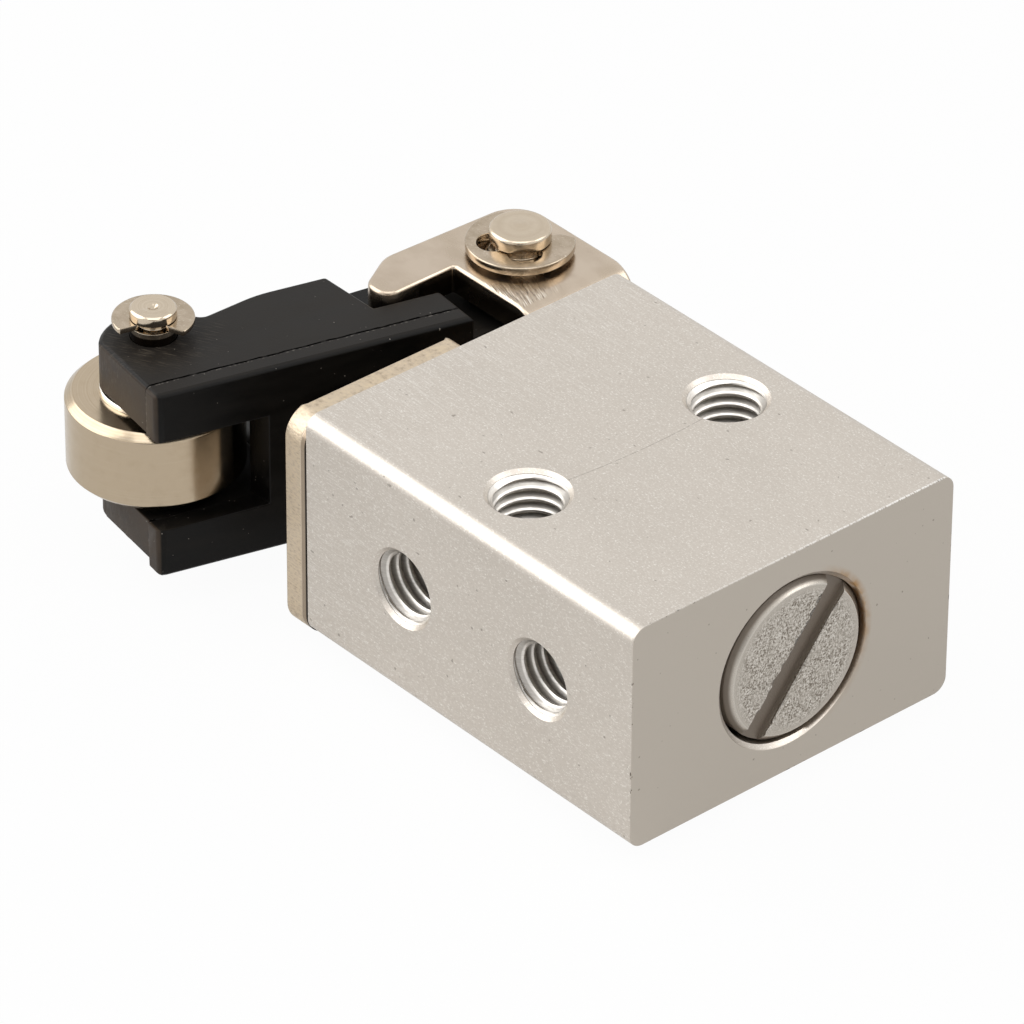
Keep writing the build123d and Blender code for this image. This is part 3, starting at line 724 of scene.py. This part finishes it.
def turned_nickel(
    name, centre, colours, ring=0.09, rings_depth=0.25, gloss=0.2, axis="Z", shade_below=None, highlight_above=None
):
    """Plated metal with lathe rings round one axis, and painted shade below or painted highlight above a height."""
    material, tree, shader = finish(name, metallic=1.0)
    rings = lathe_rings(tree, radius_from(tree, centre, axis), ring)
    along = {"Z": (9.0, 9.0, 0.10), "X": (0.10, 9.0, 9.0)}[axis]
    lines = noise(tree, cells(tree, along, centre), detail=2.0)
    mottle = noise(tree, cells(tree, (0.7, 0.7, 0.7), centre), detail=3.0)
    colour = blend(tree, remap(tree, rings, 0.35, 0.7, 0.0, 0.5), colours[0], colours[1])
    colour = blend(tree, remap(tree, mottle, 0.5, 0.75, 0.0, 0.25), colour, colours[1])
    colour = blend(tree, remap(tree, lines, 0.55, 0.8, 0.0, 0.07), colour, nickel_light)
    if shade_below is not None:
        # Painted shade: below this height the shaft is painted dark brown, where it stands in the lever's shade.
        oil_stain_and_painted_shade = remap(tree, axes(tree)[2], shade_below, shade_below - 0.06)
        colour = blend(tree, oil_stain_and_painted_shade, colour, painted_shaft_shade)
    if highlight_above is not None:
        # Painted highlight: above this height, on the roller's top hub, the colour is painted near white.
        painted_hub_highlight_mask = remap(tree, axes(tree)[2], highlight_above, highlight_above + 0.03)
        colour = blend(tree, painted_hub_highlight_mask, colour, painted_hub_highlight)
    roughness = remap(tree, mottle, 0.3, 0.7, gloss - 0.03, gloss + 0.05)
    height = bump(tree, rings, rings_depth, 0.010)
    height = bump(tree, lines, 0.03, 0.008, under=height)
    wire(tree, shader, colour, roughness, height)
    return material


def spring_nickel():
    """The clips: punched spring steel under a thin, slightly darker plate."""
    material, tree, shader = finish("nickel_plated_clip", metallic=1.0)
    mottle = noise(tree, cells(tree, (0.9, 0.7, 0.7)), detail=3.0)
    grain = noise(tree, cells(tree, (0.16, 0.16, 0.16)), detail=2.0)
    colour = blend(tree, remap(tree, mottle, 0.3, 0.7), srgb(190, 175, 156), srgb(168, 153, 132))
    colour = blend(tree, remap(tree, grain, 0.62, 0.75, 0.0, 0.4), colour, nickel_light)
    roughness = remap(tree, mottle, 0.3, 0.7, 0.16, 0.26)
    wire(tree, shader, colour, roughness, bump(tree, grain, 0.2, 0.006))
    return material


def around_wheel(point):
    """A point's distance from the roller's axis, and its height above the roller's middle."""
    offset = point.co / MM - Vector(wheel_centre)
    return math.hypot(offset.x, offset.y), offset.z


def set_reach(point, wanted):
    """Moves a point straight towards or away from the roller's axis."""
    reach, _ = around_wheel(point)
    for i in (0, 1):
        middle = wheel_centre[i] * MM
        point.co[i] = middle + (point.co[i] - middle) * wanted / reach


def turned_roller():
    """The roller, with its hubs a little wider and well rounded."""
    sheet = copy_of("roller")
    for point in sheet.verts:
        reach, height = around_wheel(point)
        if abs(reach - hub_radius) < 0.02 and abs(height) > roller_half - 0.01:
            set_reach(point, hub_seen)
    hub_rims = [
        edge for edge in sharp_edges(sheet)
        if all(abs(around_wheel(point)[0] - hub_seen) < 0.01 for point in edge.verts)
        and all(abs(around_wheel(point)[1]) > roller_half + 0.1 for point in edge.verts)
    ]
    print("hub rim edges:", len(hub_rims))
    others = [edge for edge in sharp_edges(sheet) if edge not in hub_rims]
    soften(sheet, hub_rims, hub_round, segments=3)
    soften_rest(sheet, others, turned_edge)
    return dress(sheet, "steel_roller", "roller", "wheel")


def spring_clip():
    """The roller's clip, with the recesses drawn in under the pin's head."""
    sheet = copy_of("roller_clip")
    for point in sheet.verts:
        reach, _ = around_wheel(point)
        if recess_from < reach < recess_to:
            set_reach(point, recess_from)
    rim = [edge for edge in sharp_edges(sheet) if all(around_wheel(point)[0] > clip_rim for point in edge.verts)]
    others = [edge for edge in sharp_edges(sheet) if edge not in rim]
    soften(sheet, rim, clip_rim_round, segments=3)
    soften_rest(sheet, others, clip_edge)
    return dress(sheet, "wheel_clip", "roller_clip", "lever_arm")


wheel = turned_roller()
wheel_pin = rounded("roller_pin", "wheel_pin", turned_edge, "lever_arm")
wheel_clip = spring_clip()
hinge_pin = rounded("pivot_pin", "hinge_pin", hinge_edge, "valve", segments=3)
hinge_clip = rounded("pivot_clip", "hinge_clip", hinge_edge, "valve", segments=3)
screws = rounded("bracket_screws", "countersunk_screws", screw_edge, "valve")
clip_finish = spring_nickel()
pin_colours = (srgb(206, 192, 172), srgb(184, 168, 146))
paint(
    wheel,
    turned_nickel(
        "turned_roller", wheel_centre, (roller_colour, roller_shade), ring=0.10, gloss=0.2,
        highlight_above=wheel_centre[2] + roller_half + 0.03,
    ),
)
pin_top = box_mm("roller_pin")[1].z
paint(
    wheel_pin,
    turned_nickel(
        "turned_wheel_pin", wheel_centre, pin_colours, ring=0.12, rings_depth=0.5, gloss=0.13,
        shade_below=pin_top - shoulder_drop,
    ),
)
paint(hinge_pin, turned_nickel("turned_hinge_pin", hinge_centre, pin_colours, ring=0.9, rings_depth=0.03, gloss=0.22))
paint(wheel_clip, clip_finish)
paint(hinge_clip, clip_finish)
paint(screws, turned_nickel("turned_screws", hinge_centre, pin_colours, ring=0.3, gloss=0.2))

# %% [markdown]
# ## The lever
#
# It is moulded from black glass filled nylon. The mould closed along a line near its front face and left a ragged
# groove there, and the half behind the line is rounded more at the foot of the fork. Paint alone would look
# flat, so the copy is sliced with bisect_plane beside the line, the middle slice is pushed in, and the finish
# paints shade into it. The top and the tip get painted sheen, and the proud strip's edge a painted highlight.

# %% Lever with its parting line
pivot_place = Vector(hinge_centre) * MM
lever_turn = math.radians(15.54)
lever_across = Vector((math.cos(lever_turn), -math.sin(lever_turn), 0.0))
lever_along = Vector((-math.sin(lever_turn), -math.cos(lever_turn), 0.0))
lever_low, lever_high = box_mm("lever")
parting = 3.45
groove_half = 0.08
groove_step = 0.22
groove_depth = (0.04, 0.12)
tip_groove_depth = (0.15, 0.28)
tip_slope = 0.1134
lever_tip = 27.05
lever_face = 4.85
strip_proud = 0.10
moulded_edge = 0.09
foot_chamfer = 0.25
foot_extra = 0.5
foot_round = 0.2
foot_start, foot_full = 15.0, 19.0
tip_distance = 26.9
pin_hole = 1.53
hole_zone = 1.9
pin_head = 2.0
skin_zone = 0.3


def lever_place(point):
    """A point in the lever's own terms: across towards the valve, and along from the pivot to the tip."""
    offset = point - pivot_place
    return offset.dot(lever_across) / MM, offset.dot(lever_along) / MM


def slice_lever(sheet, across):
    """Cuts every face of the lever along one upright plane."""
    slice_sheet(sheet, pivot_place + lever_across * across * MM, lever_across)


def round_foot(sheet):
    """Widens the chamfer under the lower arm's head, behind the parting line."""
    slice_lever(sheet, parting)
    slice_lever(sheet, parting + 0.05)
    sheet.normal_update()
    moves = []
    for point in sheet.verts:
        across, along = lever_place(point.co)
        share = min(max((along - foot_start) / (foot_full - foot_start), 0.0), 1.0)
        rise = (point.co.z / MM - lever_low.z) / foot_chamfer
        if across > parting + 0.01 or share == 0 or rise > 1.01 or around_wheel(point)[0] < pin_head:
            continue
        lean = Vector((0, 0, 0))
        for face in point.link_faces:
            if -0.9 < face.normal.z < -0.4:
                lean += face.normal
        lean.z = 0
        if lean.length > 0.1:
            way = Vector((0, 0, rise)) - lean.normalized() * (1 - rise)
            moves.append((point, way * foot_extra * share))
    for point, move in moves:
        point.co += move * MM
    print("foot points moved:", len(moves))


def on_foot(edge):
    """Whether an edge belongs to the widened chamfer under the lower arm."""
    foot_top = lever_low.z + foot_chamfer + foot_extra + 0.02
    for point in edge.verts:
        across, along = lever_place(point.co)
        if along < foot_full or across > parting - 0.02 or point.co.z / MM > foot_top:
            return False
    return True


def close_pin_hole(sheet):
    """Brings the lever's hole close round the roller's pin at the top."""
    for point in sheet.verts:
        reach, _ = around_wheel(point)
        if reach < hole_zone and point.co.z / MM > lever_high.z - skin_zone:
            set_reach(point, pin_hole)


def round_hole(edge):
    return all(around_wheel(point)[0] < hole_zone for point in edge.verts)


def cut_parting_line(sheet, dice):
    """Pushes a thin, ragged groove into the top, the tip and the foot along the mould's line."""
    for offset in (-groove_half, 0.0, groove_half):
        slice_lever(sheet, parting + offset)

    def outside(point):
        across, along = lever_place(point.co)
        on_line = abs(across - parting) < 0.002
        height = point.co.z / MM
        skin = height > lever_high.z - skin_zone or height < lever_low.z + skin_zone or along > tip_distance
        return on_line and skin

    lines = [edge for edge in sheet.edges if all(outside(point) for point in edge.verts)]
    for edge in lines:
        cuts = int(edge.calc_length() / MM / groove_step)
        if cuts:
            bmesh.ops.subdivide_edges(sheet, edges=[edge], cuts=cuts)
    sheet.normal_update()
    moves = []
    for point in sheet.verts:
        if outside(point):
            at_tip = lever_place(point.co)[1] > tip_distance
            depth = dice.uniform(*(tip_groove_depth if at_tip else groove_depth))
            moves.append((point, point.normal * depth * MM))
    for point, move in moves:
        point.co -= move
    for point in sheet.verts:
        across, along = lever_place(point.co)
        if along > tip_distance - 0.15 and across > parting + groove_half - 0.005:
            ragged = dice.uniform(0.7, 1.3) if across < parting + groove_half + 0.005 else 1.0
            point.co += lever_along * strip_proud * ragged * MM
    print("parting line:", len(lines), "edges,", len(moves), "points pushed in")


sheet = copy_of("lever")
round_foot(sheet)
close_pin_hole(sheet)
foot_edges = [edge for edge in sharp_edges(sheet, 25.0) if on_foot(edge)]
other_edges = [edge for edge in sharp_edges(sheet) if edge not in foot_edges and not round_hole(edge)]
print("foot edges:", len(foot_edges), "other edges:", len(other_edges))
soften(sheet, foot_edges, foot_round, segments=3)
soften_rest(sheet, other_edges, moulded_edge)
cut_parting_line(sheet, random.Random(7))
arm = dress(sheet, "nylon_lever", "lever", "lever_arm")

# %% Black nylon
nylon_colour = srgb(8, 7, 6)
nylon_worn = srgb(44, 40, 36)
nylon_painted_top_sheen = srgb(37, 34, 31)
nylon_painted_tip_sheen = srgb(66, 56, 47)
fibre_and_highlight_grey = srgb(150, 144, 136)
nylon_sheen = 0.15


def black_nylon():
    material, tree, shader = finish("black_glass_filled_nylon")
    across, back_along, _ = axes(tree, hinge_centre, -lever_turn)
    height_above = axes(tree)[2]
    grain = noise(tree, cells(tree, (0.12, 0.12, 0.12)), detail=4.0, roughness=0.65)
    flow = noise(tree, cells(tree, (1.6, 5.0, 1.2), turn=-lever_turn), detail=3.0)
    specks = noise(tree, cells(tree, (0.17, 0.17, 0.17), centre=(7, 3, 1)), detail=0.0)
    rubbed = noise(tree, cells(tree, (1.4, 0.05, 0.6), centre=(3, 8, 1), turn=0.5), detail=2.0)
    colour = blend(tree, remap(tree, flow, 0.4, 0.75, 0.0, 0.2), nylon_colour, nylon_worn)
    on_top = remap(tree, height_above, lever_high.z - 0.14, lever_high.z - 0.03)
    # Painted sheen: the top face is painted lighter than the sides.
    colour = blend(tree, product(tree, on_top, remap(tree, flow, 0.3, 0.7, 0.7, 1.0)), colour, nylon_painted_top_sheen)
    slant = maths(tree, "MULTIPLY", maths(tree, "SUBTRACT", lever_face, across), tip_slope)
    from_tip = maths(tree, "ADD", maths(tree, "ADD", back_along, lever_tip), slant)
    on_tip = product(tree, remap(tree, from_tip, 0.12, 0.02), maths(tree, "SUBTRACT", 1.0, on_top))
    # Painted sheen: the tip face is painted lighter and browner.
    colour = blend(tree, product(tree, on_tip, remap(tree, flow, 0.3, 0.7, 0.6, 1.0)), colour, nylon_painted_tip_sheen)
    near_pin = remap(tree, radius_from(tree, wheel_centre), 5.0, 2.2)
    marks = product(tree, near_pin, remap(tree, rubbed, 0.58, 0.66), 0.75)
    colour = blend(tree, marks, colour, srgb(96, 88, 78))
    beside_line = near(tree, across, parting, 0.3, 0.4)
    more = product(tree, beside_line, remap(tree, specks, 0.83, 0.85))
    dots = maths(tree, "ADD", remap(tree, specks, 0.87, 0.885), more)
    colour = blend(tree, product(tree, remap(tree, dots, 0.0, 1.0), 0.8), colour, fibre_and_highlight_grey)
    # Painted highlight: a ragged light line along the proud strip's edge, on the top and the tip.
    painted_fringe_highlight = product(
        tree,
        near(tree, across, parting + 0.13, 0.03, 0.04),
        remap(tree, noise(tree, cells(tree, (0.2, 0.2, 0.2), centre=(1, 6, 2)), detail=2.0), 0.54, 0.62),
    )
    colour = blend(tree, product(tree, painted_fringe_highlight, 0.3, maths(tree, "MAXIMUM", on_top, on_tip)), colour, fibre_and_highlight_grey)
    ragged = noise(tree, cells(tree, (0.5, 0.5, 0.5), centre=(4, 4, 2)), detail=2.0)
    wander = noise(tree, cells(tree, (1.1, 1.1, 1.1), centre=(6, 1, 2)), detail=2.0)
    wavy = maths(tree, "ADD", across, remap(tree, wander, 0.3, 0.7, -0.05, 0.05))
    at_foot = remap(tree, height_above, lever_low.z + 0.3, lever_low.z + 0.2)
    skin_of_mould = maths(tree, "MAXIMUM", maths(tree, "MAXIMUM", on_top, at_foot), remap(tree, from_tip, 0.5, 0.4))
    # Painted shade in the parting groove: near black, and with its sheen taken away.
    line = product(tree, near(tree, wavy, parting, 0.05, 0.06), remap(tree, ragged, 0.25, 0.45), skin_of_mould)
    tree.links.new(remap(tree, line, 0.0, 1.0, nylon_sheen, 0.0), shader.inputs["Specular IOR Level"])
    colour = blend(tree, line, colour, srgb(2, 2, 2))
    roughness = remap(tree, flow, 0.3, 0.7, 0.36, 0.50)
    skin = bump(tree, grain, 0.6, 0.012)
    skin = bump(tree, rubbed, 0.1, 0.01, under=skin)
    wire(tree, shader, colour, roughness, skin)
    return material


paint(arm, black_nylon())

# %% [markdown]
# ## The end plug
#
# A disc with a screwdriver slot. Its face is stippled all over, smoother near the rim; the slot was sawn, so its
# lips are torn. The slot's edges are subdivided and shaken a little with a seeded random number.

# %% Plug with a torn slot
plug_high = box_mm("end_plug")[1]
plug_centre = (plug_high.x, plug_offset.y, body_middle[2] + plug_offset.z)
plug_lips = 0.14
plug_step = 0.3
long_lip = 5
slot_floor = 0.5
slot_depth = 1.2


def tear_lips(sheet, dice):
    """Subdivides the slot's long lips and shakes their points within the face."""
    face_x = plug_high.x * MM
    lips = []
    for edge in sheet.edges:
        flat = all(abs(point.co.x - face_x) < 0.01 * MM for point in edge.verts)
        if flat and edge.calc_length() > long_lip * MM:
            lips.append(edge)
    torn = []
    for edge in lips:
        start, end = (point.co.copy() for point in edge.verts)
        sideways = (end - start).normalized().cross(Vector((1, 0, 0)))
        cuts = int((end - start).length / MM / plug_step)
        made = bmesh.ops.subdivide_edges(sheet, edges=[edge], cuts=cuts)["geom_split"]
        points = [item for item in made if isinstance(item, bmesh.types.BMVert)]
        torn += points
        for point in points:
            if 0.01 * MM < (point.co - start).length < (end - start).length - 0.01 * MM:
                point.co += sideways * dice.uniform(-plug_lips, plug_lips) * MM
    print("slot lips:", len(lips), "with", len(torn), "torn points")
    return set(torn)


def raise_floor(sheet):
    """Shows the slot as shallow as the picture does."""
    floor = [point for point in sheet.verts if abs(point.co.x / MM - (plug_high.x - slot_depth)) < 0.01]
    for point in floor:
        point.co.x = (plug_high.x - slot_floor) * MM
    print("slot floor points:", len(floor))


sheet = copy_of("end_plug")
raise_floor(sheet)
torn_points = tear_lips(sheet, random.Random(3))
clean = [edge for edge in sharp_edges(sheet) if not torn_points.intersection(edge.verts)]
soften(sheet, clean, 0.04)
plug = dress(sheet, "slotted_plug", "end_plug", "valve")

# %% Stippled metal
plug_colour = srgb(186, 179, 169)
plug_dark = srgb(120, 111, 100)
plug_light = srgb(226, 221, 213)
slot_colour = srgb(128, 117, 105)


def stippled_plug():
    material, tree, shader = finish("stippled_plug", metallic=1.0)
    x = axes(tree, plug_centre)[0]
    reach = radius_from(tree, plug_centre, "X")
    stipple = noise(tree, cells(tree, (0.13, 0.13, 0.13)), detail=2.0, roughness=0.7)
    arcs = lathe_rings(tree, reach, 0.12)
    patches = noise(tree, cells(tree, (1.0, 1.3, 1.3), centre=(4, 2, 2)), detail=2.0)
    rough_zone = product(tree, remap(tree, reach, 5.0, 4.3), remap(tree, patches, 0.3, 0.55, 0.45, 1.0))
    in_slot = remap(tree, x, -0.1, -0.25)
    colour = blend(tree, remap(tree, arcs, 0.45, 0.75, 0.0, 0.35), plug_colour, plug_light)
    colour = blend(tree, product(tree, rough_zone, remap(tree, stipple, 0.50, 0.60)), colour, plug_dark)
    colour = blend(tree, product(tree, rough_zone, remap(tree, stipple, 0.44, 0.36)), colour, plug_light)
    colour = blend(tree, in_slot, colour, slot_colour)
    tree.links.new(remap(tree, in_slot, 0.0, 1.0, 1.0, 0.1), shader.inputs["Metallic"])
    roughness = maths(tree, "ADD", remap(tree, stipple, 0.3, 0.7, 0.24, 0.36), product(tree, in_slot, 0.2))
    height = bump(tree, product(tree, rough_zone, stipple), 0.8, 0.03)
    height = bump(tree, arcs, 0.15, 0.01, under=height)
    wire(tree, shader, colour, roughness, height)
    return material


paint(plug, stippled_plug())

# %% [markdown]
# ## Threads
#
# Four M5 holes show their threads. A Screw modifier could wind them, but the first turn has to be cut away by the
# hole's chamfer. Here one ridge profile is spun down the hole with bmesh, and afterwards every point that
# stands inside the chamfer's cone is pushed out just past it, as the countersink takes the metal off.
# A value on each point remembers how deep in the groove it lies, and the finish reads it to paint shade into the
# roots.

# %% Wind the threads
thread_radius = 2.5
thread_crest = 2.07
thread_pitch = 0.8
thread_chamfer = 0.25
steps_per_turn = 64
wall_overlap = 0.05
ridge_base = 0.395
ridge_crest = 0.09
crest_round = 0.03
cone_overlap = 0.04
flank_steps = 4


def ridge_profile():
    """Half a ridge from the wall to the crest, as radius and height, and its mirror image."""
    outer = thread_radius + wall_overlap
    inner = thread_crest + crest_round
    half = [
        (outer + (inner - outer) * step / flank_steps, ridge_base + (ridge_crest - ridge_base) * step / flank_steps)
        for step in range(flank_steps + 1)
    ]
    half.append((thread_crest, ridge_crest / 2))
    return half + [(radius, -height) for radius, height in reversed(half)]


def cut_by_chamfer(ridge, depth, both_ends):
    """Pushes what stands inside the countersink out onto its cone."""
    for point in ridge.verts:
        reach = math.hypot(point.co.x, point.co.y)
        cone = thread_radius + thread_chamfer + point.co.z + cone_overlap
        if both_ends:
            cone = max(cone, thread_radius + thread_chamfer + cone_overlap - depth - point.co.z)
            point.co.z = max(point.co.z, -depth + 0.1)
        point.co.z = min(point.co.z, -0.1)
        wanted = max(reach, cone)
        point.co.x *= wanted / reach
        point.co.y *= wanted / reach


def thread(name, mouth, outward, depth, both_ends=False):
    """A helical ridge inside a hole."""
    ridge = bmesh.new()
    corners = [ridge.verts.new((radius, 0, height + thread_pitch / 2)) for radius, height in ridge_profile()]
    edges = [ridge.edges.new((corners[i], corners[(i + 1) % len(corners)])) for i in range(len(corners))]
    ridge.faces.new(corners)
    turns = (depth + thread_pitch) / thread_pitch
    steps = round(turns * steps_per_turn)
    spun = bmesh.ops.spin(
        ridge,
        geom=corners + edges,
        cent=(0, 0, 0),
        axis=(0, 0, 1),
        dvec=(0, 0, -thread_pitch / steps_per_turn),
        angle=math.tau * steps / steps_per_turn,
        steps=steps,
        use_merge=False,
        use_duplicate=False,
    )
    last = [edge for edge in spun["geom_last"] if isinstance(edge, bmesh.types.BMEdge)]
    bmesh.ops.contextual_create(ridge, geom=last)
    root = ridge.verts.layers.float.new("root")
    for point in ridge.verts:
        reach = math.hypot(point.co.x, point.co.y)
        point[root] = (reach - thread_crest) / (thread_radius - thread_crest)
    cut_by_chamfer(ridge, depth, both_ends)
    bmesh.ops.recalc_face_normals(ridge, faces=ridge.faces)
    for face in ridge.faces:
        face.smooth = True
    for edge in ridge.edges:
        edge.smooth = len(edge.link_faces) == 2 and edge.calc_face_angle() < math.radians(38)
    placed = Matrix.Translation(Vector(mouth) * MM) @ Vector(outward).to_track_quat("Z", "Y").to_matrix().to_4x4()
    bmesh.ops.transform(ridge, matrix=placed @ Matrix.Scale(MM, 4), verts=ridge.verts)
    piece = object_from(ridge, name)
    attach(piece, "valve")
    print(f"{name}: {turns:.1f} turns, {len(piece.data.polygons)} faces")
    return piece


hole_y = 8.05
port_places = (-6.04, 6.56)
port_thread_depth = 5.1
body_height = body_high.z - body_low.z
threads = []
for label, side in (("front", -1), ("back", 1)):
    threads.append(thread(f"thread_{label}", (0, side * hole_y, body_high.z), (0, 0, 1), body_height, both_ends=True))
for label, x in zip(("outlet", "supply"), port_places):
    threads.append(thread(f"thread_{label}", (x, body_low.y, body_middle[2]), (0, -1, 0), port_thread_depth))


# %% Thread metal
def cut_thread():
    material, tree, shader = finish("cut_thread_metal", metallic=1.0)
    root = node(tree, "Attribute", attribute_name="root").outputs["Fac"]
    tears = noise(tree, cells(tree, (0.4, 0.4, 0.10)), detail=3.0)
    colour = blend(tree, remap(tree, tears, 0.4, 0.75, 0.0, 0.4), srgb(232, 228, 222), srgb(188, 181, 172))
    lines = noise(tree, cells(tree, (0.9, 0.9, 0.06)), detail=2.0)
    # Painted shade: the thread's roots are painted darker than its crests.
    dark = remap(tree, root, 0.22, 0.40, 0.0, 0.7)
    colour = blend(tree, product(tree, dark, remap(tree, lines, 0.3, 0.7, 1.0, 0.8)), colour, srgb(138, 133, 126))
    roughness = remap(tree, tears, 0.3, 0.7, 0.3, 0.44)
    wire(tree, shader, colour, roughness, bump(tree, tears, 0.2, 0.01))
    return material


thread_finish = cut_thread()
for piece in threads:
    paint(piece, thread_finish)

# %% [markdown]
# ## Inside the bore
#
# Sleeves, spool, seals and spring are hardly seen, but a finish costs nothing and somebody may take the valve
# apart. Their CAD meshes are kept as they are, and only their material slots change.


# %% Inner parts
def seal_rubber():
    material, tree, shader = finish("seal_rubber", specular=0.4)
    bloom = noise(tree, cells(tree, (0.6, 0.6, 0.6)), detail=4.0)
    grain = noise(tree, cells(tree, (0.08, 0.08, 0.08)), detail=2.0)
    colour = blend(tree, remap(tree, bloom, 0.4, 0.7), srgb(26, 26, 26), srgb(52, 50, 48))
    roughness = remap(tree, bloom, 0.3, 0.7, 0.45, 0.62)
    wire(tree, shader, colour, roughness, bump(tree, grain, 0.3, 0.01))
    return material


def inner_metal(name, light, dark, gloss=0.25):
    """A turned inner part, along the bore."""
    return turned_nickel(name, body_middle, (light, dark), ring=0.12, gloss=gloss, axis="X")


brass = inner_metal("brass_inner", srgb(196, 164, 98), srgb(160, 128, 70))
steel = inner_metal("steel_inner", srgb(190, 188, 184), srgb(140, 138, 134), gloss=0.18)
wire_steel = inner_metal("spring_wire", srgb(170, 168, 166), srgb(110, 108, 106), gloss=0.2)
rubber = seal_rubber()
inner_finish = {
    "guide_bush": brass,
    "front_spacer": brass,
    "outlet_cage": brass,
    "spring_cage": brass,
    "plunger": steel,
    "spool": steel,
    "spring_seat": steel,
    "return_spring": wire_steel,
    "exhaust_seal": rubber,
    "supply_seal": rubber,
    "plug_o_ring": rubber,
}
for name, material in inner_finish.items():
    paint(frame["nodes"][name], material)
print("inner parts painted:", len(inner_finish))
